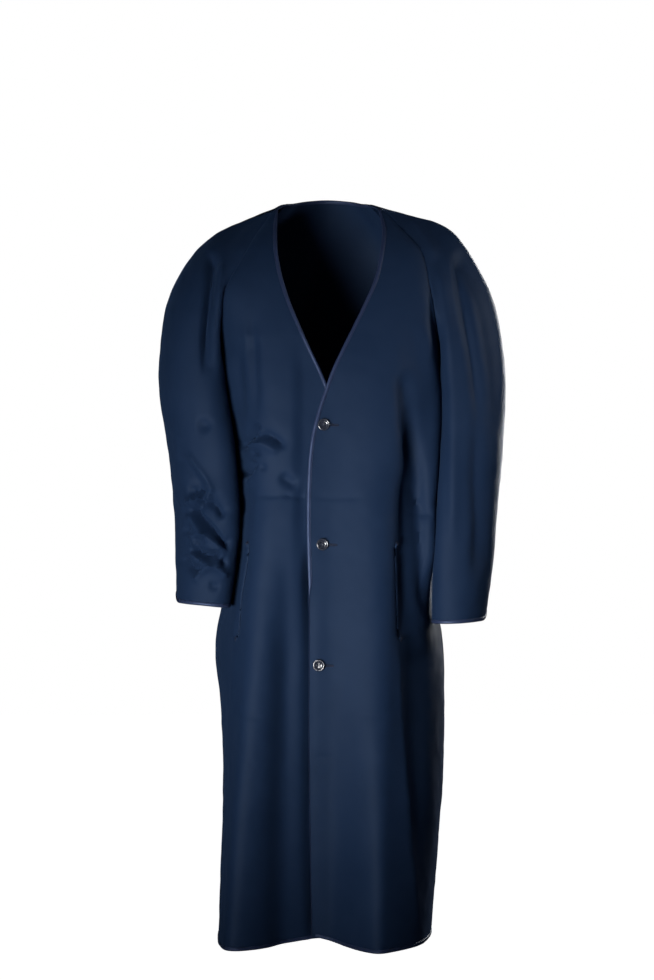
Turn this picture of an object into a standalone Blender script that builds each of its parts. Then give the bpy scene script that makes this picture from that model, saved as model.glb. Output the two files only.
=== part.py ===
"""Collarless raglan coat, worn shape, hollow, with bound edges, three buttons and two jetted pockets.

Units are metres, +Z up. The front faces -Y, and the wearer's left side is at +X.
The origin is where the coat hangs from the wearer: between the two points where the front
raglan seams meet the neckline.
"""
import math

import bmesh
import bpy
import numpy as np
from mathutils import Matrix, Vector
from mathutils.bvhtree import BVHTree

# Driving sizes of the cloth and its joins.
CLOTH = 0.0020
SEAM_GAP = 0.0003
LAP_GAP = 0.0052             # how far the under front lies behind the top front
LAP_FROM, LAP_TO = -0.056, -0.034
UNDERARM_Z = -0.285
NECK_Z = 0.002               # where the front raglan seams end
HEM_Z = -1.143
FRONT_TIP_LIFT = 0.003       # each front's tip at the neckline is this much above NECK_Z
BACK_NECK_LIFT = 0.0205      # the back raglan seams end this much above the front ones
BACK_NECK_ARCH = 0.010       # and the centre back is this much above those
SIDE_NECK_BULGE = 0.005      # how far the neckline bows out between a front and the back

# Sizes of the trim.
TAPE = 0.0007                # thickness of the satin binding
TAPE_WIDTH = 0.0038          # how far it reaches onto the cloth
TAPE_CLEAR = 0.0007
OFF_SEAM = 0.0004            # how far from a raglan seam the sleeve's own stretch of binding ends
BUTTON_RADIUS = 0.0100
BUTTON_HEIGHT = 0.0036
BUTTON_CLEAR = 0.0005
BUTTON_HOLE_RADIUS = 0.0011
BUTTON_HOLE_SPACING = 0.0021
JET_WIDTH = 0.0048
JET_HEIGHT = 0.0013
JET_SLIT = 0.0008
JET_CLEAR = 0.0004
JET_SPANS = 11

# Mesh density.
SKIRT_ROWS = 17              # from the hem to the underarm
YOKE_ROWS = 10               # from the underarm to the neck
YOKE_CROWDING = 1.3          # over 1, these lie closer together towards the neck
FRONT_COLUMNS = 14
BACK_COLUMNS = 20
SLEEVE_ROWS = 20
NECK_SPANS = 4               # spans of each sleeve's short edge at the neck
TOP_COLUMN = YOKE_ROWS + 2   # the column of a sleeve's grid that lies on its top seam
PAST_SEAM = 1e-6             # the back's first and last columns lie this far past q = 1

# Half sections of the body at each height. front: the front corner. side: the front raglan seam
# down to the underarm and then the side seam. turn: the direction of the cloth there in degrees,
# 0 across the front and 90 straight back. back: the back corner.
COLUMNS = ("z", "front_x", "front_y", "side_x", "side_y", "turn", "back_x", "back_y")
RIGHT_SIDE = (               # the wearer's right, at -X
    (+0.002, 0.0760, -0.030, 0.0890, -0.025, 16, 0.045, 0.072),
    (-0.035, 0.0900, -0.062, 0.1120, -0.050, 42, 0.070, 0.094),
    (-0.062, 0.0920, -0.082, 0.1263, -0.068, 45, 0.080, 0.106),
    (-0.118, 0.0960, -0.106, 0.1560, -0.086, 50, 0.095, 0.120),
    (-0.157, 0.1000, -0.116, 0.1647, -0.083, 60, 0.104, 0.124),
    (-0.210, 0.1040, -0.122, 0.1669, -0.060, 74, 0.110, 0.125),
    (-0.285, 0.1080, -0.124, 0.1680, +0.000, 90, 0.116, 0.122),
    (-0.360, 0.1080, -0.120, 0.1600, +0.030, 80, 0.124, 0.118),
    (-0.447, 0.1080, -0.113, 0.1500, +0.040, 76, 0.122, 0.116),
    (-0.530, 0.1120, -0.116, 0.1520, +0.045, 78, 0.116, 0.120),
    (-0.610, 0.1190, -0.117, 0.1660, +0.050, 76, 0.118, 0.126),
    (-0.690, 0.1220, -0.118, 0.1800, +0.055, 84, 0.124, 0.132),
    (-0.780, 0.1270, -0.120, 0.1710, +0.058, 90, 0.124, 0.136),
    (-0.900, 0.1350, -0.124, 0.1660, +0.058, 90, 0.122, 0.142),
    (-1.020, 0.1430, -0.127, 0.1690, +0.052, 90, 0.124, 0.148),
    (-1.143, 0.1500, -0.128, 0.1720, +0.045, 90, 0.128, 0.154),
)
LEFT_SIDE = (                # the wearer's left, at +X
    (+0.002, 0.0800, -0.030, 0.0930, -0.025, 16, 0.045, 0.072),
    (-0.035, 0.0950, -0.062, 0.1240, -0.050, 42, 0.070, 0.094),
    (-0.062, 0.0980, -0.082, 0.1466, -0.068, 45, 0.082, 0.106),
    (-0.118, 0.1030, -0.106, 0.1595, -0.088, 50, 0.098, 0.120),
    (-0.157, 0.1080, -0.116, 0.1665, -0.090, 58, 0.106, 0.124),
    (-0.210, 0.1130, -0.122, 0.1765, -0.066, 72, 0.114, 0.125),
    (-0.285, 0.1170, -0.124, 0.1830, +0.000, 90, 0.122, 0.122),
    (-0.360, 0.1180, -0.123, 0.1855, +0.034, 66, 0.144, 0.112),
    (-0.447, 0.1040, -0.122, 0.1820, +0.043, 62, 0.142, 0.110),
    (-0.530, 0.1010, -0.124, 0.1735, +0.048, 74, 0.128, 0.118),
    (-0.610, 0.1000, -0.125, 0.1750, +0.052, 70, 0.122, 0.126),
    (-0.690, 0.0990, -0.126, 0.1870, +0.055, 76, 0.126, 0.132),
    (-0.780, 0.0970, -0.130, 0.1890, +0.058, 90, 0.128, 0.136),
    (-0.900, 0.0930, -0.138, 0.1860, +0.058, 90, 0.126, 0.142),
    (-1.020, 0.0890, -0.148, 0.1770, +0.054, 90, 0.124, 0.148),
    (-1.143, 0.0850, -0.156, 0.1660, +0.048, 90, 0.124, 0.154),
)
# The back raglan seams. rise: 0 at the underarm, 1 at the neck. out: 0 at the neck's own x, 1 at
# the underarm's.
BACK_NECK_X = 0.0665
BACK_SEAM = (                # rise, out, y
    (1.00, 0.00, 0.046), (0.88, 0.30, 0.063), (0.79, 0.47, 0.074), (0.69, 0.63, 0.085),
    (0.58, 0.78, 0.093), (0.46, 0.88, 0.096), (0.33, 0.94, 0.089), (0.20, 0.97, 0.069),
    (0.10, 0.99, 0.038), (0.00, 1.00, 0.000),
)
# Depth of the body on its centre plane.
CENTRE = (                   # z, front y, back y
    (+0.002, -0.050, 0.086),
    (-0.035, -0.078, 0.104),
    (-0.062, -0.093, 0.115),
    (-0.118, -0.112, 0.128),
    (-0.210, -0.130, 0.134),
    (-0.285, -0.135, 0.130),
    (-0.447, -0.130, 0.118),
    (-0.610, -0.126, 0.130),
    (-0.780, -0.119, 0.141),
    (-0.900, -0.110, 0.148),
    (-1.020, -0.098, 0.155),
    (-1.143, -0.082, 0.162),
)
# Where each front's free edge runs: the neckline and then the front edge.
UNDER_EDGE = (               # z, x of the under front's edge
    (+0.002, -0.0790), (-0.055, -0.0785), (-0.098, -0.0720), (-0.142, -0.0590), (-0.188, -0.0400),
    (-0.218, -0.0265), (-0.248, -0.0120), (-0.279, +0.0010), (-0.315, +0.0120), (-0.380, +0.0145),
    (-0.600, +0.0145), (-1.143, +0.0145),
)
TOP_EDGE = (                 # z, x of the top front's edge
    (+0.002, +0.0830), (-0.030, +0.0875), (-0.070, +0.0830), (-0.112, +0.0735), (-0.158, +0.0535),
    (-0.204, +0.0310), (-0.248, +0.0100), (-0.279, -0.0015), (-0.318, -0.0145), (-0.360, -0.0240),
    (-0.420, -0.0290), (-0.500, -0.0300), (-0.620, -0.0270), (-0.800, -0.0275), (-1.143, -0.0220),
)
# The largest folds of the body. q is the place round the body, as body_plan takes it.
FOLDS = (                    # q at the top, its z, q at the foot, its z, depth, half width in q
    (-0.27, -0.520, -0.26, -1.143, -0.0130, 0.085),
    (-0.45, -0.620, -0.46, -1.143, +0.0060, 0.110),
    (+0.60, -0.300, +0.64, -0.700, -0.0090, 0.060),
    (+0.74, -0.330, +0.78, -0.620, +0.0060, 0.060),
    (-0.60, -0.170, -0.50, -0.330, -0.0060, 0.060),
    (-1.35, -0.560, -1.32, -1.143, -0.0120, 0.090),
    (-1.62, -0.520, -1.66, -1.143, +0.0100, 0.090),
    (+1.40, -0.560, +1.36, -1.143, -0.0120, 0.090),
    (+1.68, -0.520, +1.70, -1.143, +0.0100, 0.090),
    (+2.00, -0.620, +2.00, -1.143, -0.0080, 0.080),
    (-2.00, -0.620, -2.00, -1.143, -0.0080, 0.080),
)
# Rings of each sleeve from the shoulder to the cuff: the outer point on the top seam, the front
# point, the inner point on the underarm seam and the back point.
RIGHT_RINGS = (
    ((-0.1333, 0.016, -0.0079), (-0.162, -0.089, -0.123), (-0.169, 0.000, -0.289), (-0.155, 0.101, -0.112)),
    ((-0.180, 0.014, -0.030), (-0.176, -0.093, -0.143), (-0.1695, 0.000, -0.294), (-0.172, 0.102, -0.134)),
    ((-0.2206, 0.012, -0.0714), (-0.190, -0.096, -0.170), (-0.170, -0.002, -0.300), (-0.188, 0.103, -0.164)),
    ((-0.2524, 0.010, -0.1349), (-0.203, -0.097, -0.208), (-0.1695, -0.005, -0.310), (-0.202, 0.103, -0.204)),
    ((-0.2655, 0.010, -0.210), (-0.210, -0.097, -0.260), (-0.167, -0.010, -0.328), (-0.210, 0.101, -0.258)),
    ((-0.2665, 0.010, -0.280), (-0.209, -0.096, -0.315), (-0.161, -0.015, -0.358), (-0.209, 0.099, -0.314)),
    ((-0.254, 0.008, -0.362), (-0.203, -0.094, -0.386), (-0.153, -0.020, -0.410), (-0.204, 0.092, -0.386)),
    ((-0.243, 0.000, -0.4683), (-0.194, -0.090, -0.480), (-0.145, -0.026, -0.492), (-0.195, 0.073, -0.480)),
    ((-0.2395, -0.010, -0.540), (-0.194, -0.088, -0.546), (-0.1475, -0.030, -0.552), (-0.194, 0.057, -0.546)),
    ((-0.2385, -0.018, -0.612), (-0.198, -0.085, -0.615), (-0.159, -0.030, -0.618), (-0.198, 0.044, -0.614)),
)
LEFT_RINGS = (
    ((+0.147, 0.016, -0.003), (+0.166, -0.091, -0.126), (+0.184, 0.000, -0.289), (+0.172, 0.100, -0.112)),
    ((+0.197, 0.014, -0.0225), (+0.184, -0.094, -0.145), (+0.1845, 0.000, -0.294), (+0.188, 0.102, -0.134)),
    ((+0.2325, 0.012, -0.070), (+0.200, -0.097, -0.171), (+0.1855, -0.002, -0.300), (+0.203, 0.103, -0.164)),
    ((+0.2635, 0.010, -0.1349), (+0.216, -0.098, -0.208), (+0.1865, -0.005, -0.310), (+0.214, 0.103, -0.204)),
    ((+0.2795, 0.010, -0.210), (+0.226, -0.098, -0.260), (+0.187, -0.010, -0.328), (+0.226, 0.101, -0.258)),
    ((+0.284, 0.010, -0.280), (+0.231, -0.097, -0.315), (+0.1865, -0.015, -0.358), (+0.231, 0.099, -0.314)),
    ((+0.280, 0.008, -0.362), (+0.231, -0.094, -0.386), (+0.1835, -0.020, -0.410), (+0.232, 0.093, -0.386)),
    ((+0.2705, 0.002, -0.4683), (+0.222, -0.090, -0.480), (+0.176, -0.026, -0.492), (+0.223, 0.076, -0.480)),
    ((+0.262, -0.006, -0.560), (+0.215, -0.088, -0.566), (+0.169, -0.030, -0.572), (+0.215, 0.058, -0.566)),
    ((+0.2515, -0.012, -0.640), (+0.209, -0.085, -0.643), (+0.1665, -0.030, -0.644), (+0.208, 0.046, -0.642)),
)
# The largest folds of the sleeves. turn runs from 0 at the underarm seam through 0.5 at the top
# seam, front first; down runs from 0 at the raglan seam to 1 at the cuff.
SLEEVE_FOLDS = (             # side, turn, down at the top, down at the foot, depth, half width
    (-1, 0.27, 0.14, 0.62, -0.0070, 0.040),
    (-1, 0.20, 0.16, 0.60, +0.0040, 0.035),
    (+1, 0.33, 0.14, 0.70, -0.0060, 0.040),
    (-1, 0.76, 0.20, 0.70, -0.0070, 0.050),
    (+1, 0.74, 0.20, 0.70, -0.0070, 0.050),
)
ARMHOLE_FADE_RINGS = 4       # the armhole's own shape has gone at this ring
ARMHOLE_SPREAD = 0.006       # how far a sleeve stands off its seams beside the underarm
CUFF_RISE = 0.011            # the cuff is this much shorter at the top seam
CUFF_RISE_SPANS = 2.2        # and comes down to its full length over this many columns

BUTTONS = (                  # x, z
    (-0.0050, -0.336),
    (-0.0070, -0.520),
    (-0.0125, -0.706),
)
POCKETS = (                  # name, x and z of the slit's upper end, x and z of its lower end
    ("right", (-0.1215, -0.5185), (-0.1405, -0.6680)),
    ("left", (+0.1060, -0.5185), (+0.1130, -0.6680)),
)

NAVY = ("navy_wool", (0.018, 0.033, 0.068), 0.85)
SATIN = ("navy_satin", (0.050, 0.060, 0.130), 0.40)
HORN = ("dark_horn", (0.012, 0.016, 0.030), 0.25)


def cubic(p0, p1, p2, p3, t):
    """Catmull-Rom curve from p1 to p2."""
    return 0.5 * (2 * p1 + (p2 - p0) * t + (2 * p0 - 5 * p1 + 4 * p2 - p3) * t * t
                  + (3 * p1 - p0 - 3 * p2 + p3) * t ** 3)


def hermite(p1, p2, m1, m2, t):
    """Curve from p1 to p2 that leaves along m1 and arrives along m2."""
    return ((2 * t ** 3 - 3 * t * t + 1) * p1 + (t ** 3 - 2 * t * t + t) * m1
            + (3 * t * t - 2 * t ** 3) * p2 + (t ** 3 - t * t) * m2)


def smooth(low, high, value):
    """0 at low, 1 at high, flat beyond both, and a smooth step between."""
    t = min(1.0, max(0.0, (value - low) / (high - low)))
    return t * t * (3 - 2 * t)


def unit(vectors):
    """The vectors, each with a length of 1."""
    return vectors / np.maximum(np.linalg.norm(vectors, axis=-1, keepdims=True), 1e-12)


def look_up(table, z):
    """A row of the table at height z, on smooth curves through its rows, which go downwards."""
    rows = np.array(table, float)
    heights = rows[:, 0]
    z = min(heights[0], max(heights[-1], z))
    i = int(min(len(rows) - 2, np.searchsorted(-heights, -z, side="right") - 1))
    step = heights[i + 1] - heights[i]
    before = rows[max(0, i - 1)]
    after = rows[min(len(rows) - 1, i + 2)]
    leave = (rows[i + 1] - before) / (rows[i + 1][0] - before[0]) * step
    arrive = (after - rows[i]) / (after[0] - rows[i][0]) * step
    return hermite(rows[i], rows[i + 1], leave, arrive, (z - heights[i]) / step)


def half_section(side, z):
    """One side's named points and directions in plan at height z."""
    row = dict(zip(COLUMNS, look_up(LEFT_SIDE if side > 0 else RIGHT_SIDE, z)))
    centre = look_up(CENTRE, z)
    turn = math.radians(row["turn"])
    seam = np.array((side * row["side_x"], row["side_y"]))
    back_way = side if z <= UNDERARM_Z else -side
    return {
        "centre_front": np.array((0.0, centre[1])),
        "front": np.array((side * row["front_x"], row["front_y"])),
        "seam": seam,
        "back_seam": back_seam(side, seam, z),
        "back": np.array((side * row["back_x"], row["back_y"])),
        "centre_back": np.array((0.0, centre[2])),
        "leave_front": np.array((side * math.cos(turn), math.sin(turn))),
        "enter_back": np.array((back_way * math.cos(turn), math.sin(turn))),
    }


def back_seam(side, seam, z):
    """The back raglan seam in plan, or the side seam below the underarm."""
    if z <= UNDERARM_Z:
        return seam
    _, out, y = look_up(BACK_SEAM, (z - UNDERARM_Z) / (NECK_Z - UNDERARM_Z))
    underarm = look_up(LEFT_SIDE if side > 0 else RIGHT_SIDE, UNDERARM_Z)[COLUMNS.index("side_x")]
    return np.array((side * (BACK_NECK_X + (underarm - BACK_NECK_X) * out), y))


def body_plan(q, z):
    """The body's section at height z without folds.

    q runs from -2 at the centre back, through -1 at the wearer's right seam, 0 at the centre
    front and 1 at the left seam, to 2 at the centre back again. The corners are at the halves.
    """
    side = 1 if q >= 0 else -1
    far = abs(q)
    points = half_section(side, z)
    outwards = np.array((float(side), 0.0))
    if far <= 1:
        first, corner, last = points["centre_front"], points["front"], points["seam"]
        leave = outwards * abs(corner[0])
        arrive = points["leave_front"] * np.linalg.norm(last - corner)
        far = far * 2
    else:
        first, corner, last = points["back_seam"], points["back"], points["centre_back"]
        leave = points["enter_back"] * np.linalg.norm(corner - first)
        arrive = -outwards * abs(corner[0])
        far = far * 2 - 2
    through = (last - first) * 0.42
    if far <= 1:
        return hermite(first, corner, leave, through, far)
    return hermite(corner, last, through, arrive, far - 1)


def fold_depth(q, z):
    """How far the largest folds move the cloth outwards at place q and height z."""
    depth = 0.0
    for q_top, z_top, q_foot, z_foot, most, half_width in FOLDS:
        share = (z - z_top) / (z_foot - z_top)
        middle = q_top + (q_foot - q_top) * min(1.0, max(0.0, share))
        fade = smooth(-0.10, 0.35, share)
        if z_foot > HEM_Z:
            fade *= 1 - smooth(0.65, 1.10, share)
        depth += most * fade * math.exp(-((q - middle) / half_width) ** 2)
    return depth


def body_section(q, z):
    """The body's section at height z with its folds, as a point in plan."""
    step = 0.01
    if abs(q) <= 1:
        low, high = -1.0, 1.0
    elif q < 0:
        low, high = -2.0, -1.0 - PAST_SEAM
    else:
        low, high = 1.0 + PAST_SEAM, 2.0
    along = body_plan(min(high, q + step), z) - body_plan(max(low, q - step), z)
    outwards = unit(np.array((along[1], -along[0])))
    return body_plan(q, z) + outwards * fold_depth(q, z)


def place_at_x(x, z):
    """The place q on the front of the body where its section reaches x."""
    low, high = -0.99, 0.99
    for _ in range(30):
        middle = (low + high) / 2
        if body_plan(middle, z)[0] < x:
            low = middle
        else:
            high = middle
    return (low + high) / 2


def row_heights():
    """Heights of the mesh rows from the hem to the neck."""
    skirt = [HEM_Z + (UNDERARM_Z - HEM_Z) * i / SKIRT_ROWS for i in range(SKIRT_ROWS)]
    left = [(1 - i / YOKE_ROWS) ** YOKE_CROWDING for i in range(YOKE_ROWS + 1)]
    return skirt + [NECK_Z + (UNDERARM_Z - NECK_Z) * share for share in left]


def hem_rise(side, x):
    """How much the hem curves up towards each front's free edge."""
    if side > 0:
        return 0.011 * (1 - smooth(-0.022, 0.050, x)) ** 1.5
    return 0.009 * smooth(-0.095, 0.010, x)


def front_panel(side):
    """Rows of points of one front, from the hem up, each from its free edge to its seam."""
    edge = TOP_EDGE if side > 0 else UNDER_EDGE
    rows = []
    for z in row_heights():
        first = place_at_x(look_up(edge, z)[1], z)
        row = []
        for column in range(FRONT_COLUMNS + 1):
            q = first + (side - first) * column / FRONT_COLUMNS
            x, y = body_section(q, z)
            if side < 0:
                y += LAP_GAP * smooth(LAP_FROM, LAP_TO, x) * smooth(-0.195, -0.255, z)
            lift = hem_rise(side, x) * (1 - smooth(0.0, 0.12, z - HEM_Z))
            row.append((x, y, z + lift))
        rows.append(row)
    rows = np.array(rows)
    tip = rows[-1, 0] + np.array((0.0, 0.0, FRONT_TIP_LIFT))
    rows[-1] = tip + (rows[-1, -1] - tip) * np.linspace(0, 1, FRONT_COLUMNS + 1)[:, None]
    return rows


def back_panel():
    """Rows of points of the back, from the hem up, each from the right seam to the left one."""
    rows = []
    for z in row_heights():
        rise = max(0.0, (z - UNDERARM_Z) / (NECK_Z - UNDERARM_Z))
        row = []
        for column in range(BACK_COLUMNS + 1):
            share = min(2 - PAST_SEAM, max(PAST_SEAM, 2 * column / BACK_COLUMNS))
            q = -1 - share if share <= 1 else 3 - share
            x, y = body_section(q, z)
            arch = BACK_NECK_ARCH * smooth(0.0, 1.0, abs(q) - 1) * rise ** 3
            row.append((x, y, z + BACK_NECK_LIFT * rise + arch))
        rows.append(row)
    return np.array(rows)


def ring_through(outer, fore, inner, rear, angles):
    """A smooth closed ring through four points, at angles from the inner one round to it again."""
    middle = (outer + inner) / 2
    bulge = (fore + rear) / 2 - middle
    return (middle + np.cos(angles) * (outer - inner) / 2 + np.sin(angles) * (fore - rear) / 2
            + np.sin(angles) ** 2 * bulge)


def armhole(side, front, back):
    """The loop that a sleeve is sewn to: the front seam, the short edge at the neck, the back seam."""
    fore = front[SKIRT_ROWS:, -1]
    tip = front[-1, 0]
    rear = back[SKIRT_ROWS:, -1 if side > 0 else 0]
    neck = []
    for i in range(1, NECK_SPANS):
        share = i / NECK_SPANS
        bow = np.array((side * SIDE_NECK_BULGE * math.sin(math.pi * share), 0.0, 0.0))
        neck.append(tip + (rear[-1] - tip) * share + bow)
    return np.array(list(fore) + [tip] + neck + list(rear[::-1]))


def halves(lengths):
    """Lengths round a loop as shares: 0 and 1 at the underarm, and a half at the top seam."""
    top = lengths[TOP_COLUMN]
    beyond = (lengths - top) / (lengths[-1] - top)
    return np.where(lengths <= top, lengths / top / 2, 0.5 + beyond / 2)


def sleeve_rings(side, front, back):
    """Control rings of a sleeve, each from the underarm round the front, the top and the back.

    The armhole isn't a ring through four points. What it differs by fades over the next rings.
    """
    loop = armhole(side, front, back)
    steps = np.linalg.norm(np.diff(loop, axis=0), axis=1)
    turn = halves(np.concatenate([[0.0], np.cumsum(steps)]))
    even = halves(np.arange(len(loop)))
    four = [np.array([np.interp(share, turn, loop[:, axis]) for axis in range(3)])
            for share in (0.5, 0.25, 0, 0.75)]
    unlike = loop - ring_through(*four, math.pi * (1 - 2 * turn[:, None]))
    beside = np.where(np.abs(turn - 0.5) > 0.25, np.sin(4 * math.pi * turn) ** 2, 0)
    rings = [loop]
    table = LEFT_RINGS if side > 0 else RIGHT_RINGS
    for number, ring in enumerate(table, 1):
        four = (np.array(point) for point in ring)
        at = turn + (even - turn) * number / len(table)
        fade = max(0.0, 1 - number / ARMHOLE_FADE_RINGS)
        points = ring_through(*four, math.pi * (1 - 2 * at[:, None])) + unlike * fade
        points[:, 0] += side * ARMHOLE_SPREAD * beside * min(1.0, 1.3 * fade)
        rings.append(points)
    return rings


def sleeve_tube(side, front, back):
    """Rows of points of a whole sleeve from its raglan seam to its cuff, closed round the arm."""
    rings = sleeve_rings(side, front, back)
    last = len(rings) - 1
    rows = []
    for level in range(SLEEVE_ROWS + 1):
        at = last * level / SLEEVE_ROWS
        i = min(last - 1, int(at))
        rows.append(cubic(rings[max(0, i - 1)], rings[i], rings[i + 1], rings[min(last, i + 2)], at - i))
    rows = np.array(rows)
    rows += tube_normals(rows, side) * sleeve_fold_depths(side, rows.shape)[:, :, None]
    for column in range(rows.shape[1]):
        near = max(0.0, 1 - abs(column - TOP_COLUMN) / CUFF_RISE_SPANS)
        rows[-1, column, 2] += CUFF_RISE * near ** 2
        rows[-2, column, 2] += CUFF_RISE * near ** 2 * 0.4
    return rows


def sleeve_fold_depths(side, shape):
    """How far each point of a sleeve's tube moves outwards in its largest folds."""
    down, turn = np.meshgrid(np.linspace(0, 1, shape[0]), np.linspace(0, 1, shape[1]), indexing="ij")
    depths = np.zeros(shape[:2])
    for fold_side, middle, start, end, most, half_width in SLEEVE_FOLDS:
        if fold_side == side:
            share = (down - start) / (end - start)
            fade = np.clip(share * 3, 0, 1) * np.clip((1 - share) * 3, 0, 1)
            depths += most * fade * fade * (3 - 2 * fade) * np.exp(-((turn - middle) / half_width) ** 2)
    return depths


def grid_normals(rows, outside):
    """Unit normals of a grid of points, on the side where the point called outside lies."""
    normals = np.cross(np.gradient(rows, axis=1), np.gradient(rows, axis=0))
    normals = unit(normals)
    middle = (rows.shape[0] // 2, rows.shape[1] // 2)
    if np.dot(normals[middle], np.array(outside) - rows[middle]) < 0:
        normals = -normals
    return normals


def tube_normals(rows, side):
    """Unit normals of a closed sleeve, the same on both sides of the underarm seam."""
    wide = rows.shape[1]
    round_twice = np.concatenate([rows[:, -3:-1], rows, rows[:, 1:3]], axis=1)
    normals = grid_normals(round_twice, (side * 2.0, 0.0, 0.0))
    return normals[:, 2:2 + wide]


def mitred(one, other):
    """Normals for both sides of a seam, lengthened so that a wall keeps its thickness at the corner.

    Where the seam turns back on itself, as at the underarm, each side keeps its own.
    """
    dot = np.sum(one * other, axis=-1, keepdims=True)
    shared = (one + other) / np.maximum(1 + dot, 0.6)
    flat = np.clip(dot * 2, 0, 1)
    return one + (shared - one) * flat, other + (shared - other) * flat


def panels():
    """Each cloth piece's rows of points and their outward normals, joined at the seams."""
    rows = {"front_right": front_panel(-1), "front_left": front_panel(1), "back": back_panel()}
    ahead, behind = (0.0, -5.0, -0.5), (0.0, 5.0, -0.5)
    normals = {
        "front_right": grid_normals(rows["front_right"], ahead),
        "front_left": grid_normals(rows["front_left"], ahead),
        "back": grid_normals(rows["back"], behind),
    }
    made = {}
    for side, word, back_column in ((-1, "right", 0), (1, "left", -1)):
        front = "front_" + word
        tube = sleeve_tube(side, rows[front], rows["back"])
        across = tube_normals(tube, side)
        seam = SKIRT_ROWS + 1
        one, other = mitred(normals[front][:seam, -1], normals["back"][:seam, back_column])
        normals[front][:seam, -1], normals["back"][:seam, back_column] = one, other
        for panel, column, along in ((front, -1, slice(1, YOKE_ROWS + 1)),
                                     ("back", back_column, slice(-2, -YOKE_ROWS - 2, -1))):
            yoke = slice(SKIRT_ROWS + 1, None)
            one, other = mitred(normals[panel][yoke, column], across[0, along])
            normals[panel][yoke, column], across[0, along] = one, other
        tip, across[0, YOKE_ROWS + 1] = mitred(normals[front][-1, 0], across[0, YOKE_ROWS + 1])
        share = np.linspace(0, 1, FRONT_COLUMNS + 1)[:, None]
        normals[front][-1] = tip + (normals[front][-1, -1] - tip) * share
        made[f"sleeve_{word}_front"] = (tube[:, :TOP_COLUMN + 1], across[:, :TOP_COLUMN + 1])
        made[f"sleeve_{word}_back"] = (tube[:, TOP_COLUMN:], across[:, TOP_COLUMN:])
    for name, points in rows.items():
        made[name] = (points, normals[name])
    return made


def drawn_back(rows, seams):
    """The rows with each sewn edge drawn back by half the seam gap."""
    rows = rows.copy()
    half = SEAM_GAP / 2
    if "first_row" in seams:
        rows[0] += unit(rows[1] - rows[0]) * half
    if "last_row" in seams:
        rows[-1] += unit(rows[-2] - rows[-1]) * half
    for name, edge, neighbour in (("first_column", 0, 1), ("last_column", -1, -2)):
        if name in seams:
            rows[:, edge] += unit(rows[:, neighbour] - rows[:, edge]) * half
    return rows


def material_of(finish):
    """The material of that name, made once."""
    name, colour, roughness = finish
    made = bpy.data.materials.get(name)
    if made is None:
        made = bpy.data.materials.new(name)
        made.use_nodes = True
        shader = made.node_tree.nodes["Principled BSDF"]
        shader.inputs["Base Color"].default_value = (*colour, 1.0)
        shader.inputs["Roughness"].default_value = roughness
        shader.inputs["Metallic"].default_value = 0.0
    return made


def object_of(name, shape, finish, collection):
    """Puts a bmesh in the collection as a named object."""
    bmesh.ops.recalc_face_normals(shape, faces=shape.faces[:])
    mesh = bpy.data.meshes.new(name)
    shape.to_mesh(mesh)
    shape.free()
    mesh.materials.append(material_of(finish))
    mesh.shade_smooth()
    mesh.set_sharp_from_angle(angle=math.radians(50))
    made = bpy.data.objects.new(name, mesh)
    collection.objects.link(made)
    return made


def cloth_wall(name, rows, normals, collection):
    """A panel of cloth as a closed wall: a grid shaped to the rows, extruded to its inside."""
    tall, wide = rows.shape[:2]
    shape = bmesh.new()
    bmesh.ops.create_grid(shape, x_segments=wide - 1, y_segments=tall - 1, size=1.0)
    place = shape.verts.layers.int.new("place")
    for vertex in shape.verts:
        row = round((vertex.co.y + 1) / 2 * (tall - 1))
        column = round((vertex.co.x + 1) / 2 * (wide - 1))
        vertex[place] = row * wide + column
        vertex.co = rows[row, column]
    extruded = bmesh.ops.extrude_face_region(shape, geom=shape.faces[:], use_keep_orig=True)
    inner = [item for item in extruded["geom"] if isinstance(item, bmesh.types.BMVert)]
    for vertex in inner:
        row, column = divmod(vertex[place], wide)
        vertex.co = rows[row, column] - normals[row, column] * CLOTH
    return object_of(name, shape, NAVY, collection)


def strip_of(name, sections, finish, collection, closed=False):
    """A closed strip through equal sections: each is extruded from the last and moved to its place."""
    count = len(sections[0])
    shape = bmesh.new()
    number = shape.verts.layers.int.new("number")
    first = [shape.verts.new(point) for point in sections[0]]
    ring = [shape.edges.new((first[i], first[(i + 1) % count])) for i in range(count)]
    start = list(ring)
    for i, vertex in enumerate(first):
        vertex[number] = i
    for section in sections[1:]:
        extruded = bmesh.ops.extrude_edge_only(shape, edges=ring)
        ring = [item for item in extruded["geom"] if isinstance(item, bmesh.types.BMEdge)]
        for item in extruded["geom"]:
            if isinstance(item, bmesh.types.BMVert):
                item.co = section[item[number]]
    if closed:
        bmesh.ops.bridge_loops(shape, edges=start + ring)
    else:
        caps = bmesh.ops.contextual_create(shape, geom=start)["faces"]
        caps += bmesh.ops.contextual_create(shape, geom=ring)["faces"]
        bmesh.ops.triangulate(shape, faces=caps, ngon_method="EAR_CLIP")
    return object_of(name, shape, finish, collection)


def reach_in(points, normals, distance):
    """The point and normal this far along a row of points, from its first one."""
    gone = 0.0
    for i in range(len(points) - 1):
        step = np.linalg.norm(points[i + 1] - points[i])
        if gone + step >= distance:
            share = (distance - gone) / step
            normal = normals[i] + (normals[i + 1] - normals[i]) * share
            return points[i] + (points[i + 1] - points[i]) * share, normal
        gone += step
    return points[-1], normals[-1]


def tape_section(points, normals):
    """The binding's section where it wraps a cloth edge; points run from the edge into the cloth."""
    far, far_normal = reach_in(points, normals, TAPE_WIDTH)
    edge, normal = points[0], normals[0]
    inwards = unit(far - edge)
    near, out = TAPE_CLEAR, TAPE_CLEAR + TAPE
    return [
        far + far_normal * out,
        edge + normal * out - inwards * out,
        edge - normal * (CLOTH + out) - inwards * out,
        far - far_normal * (CLOTH + out),
        far - far_normal * (CLOTH + near),
        edge - normal * (CLOTH + near) - inwards * near,
        edge + normal * near - inwards * near,
        far + far_normal * near,
    ]


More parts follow.
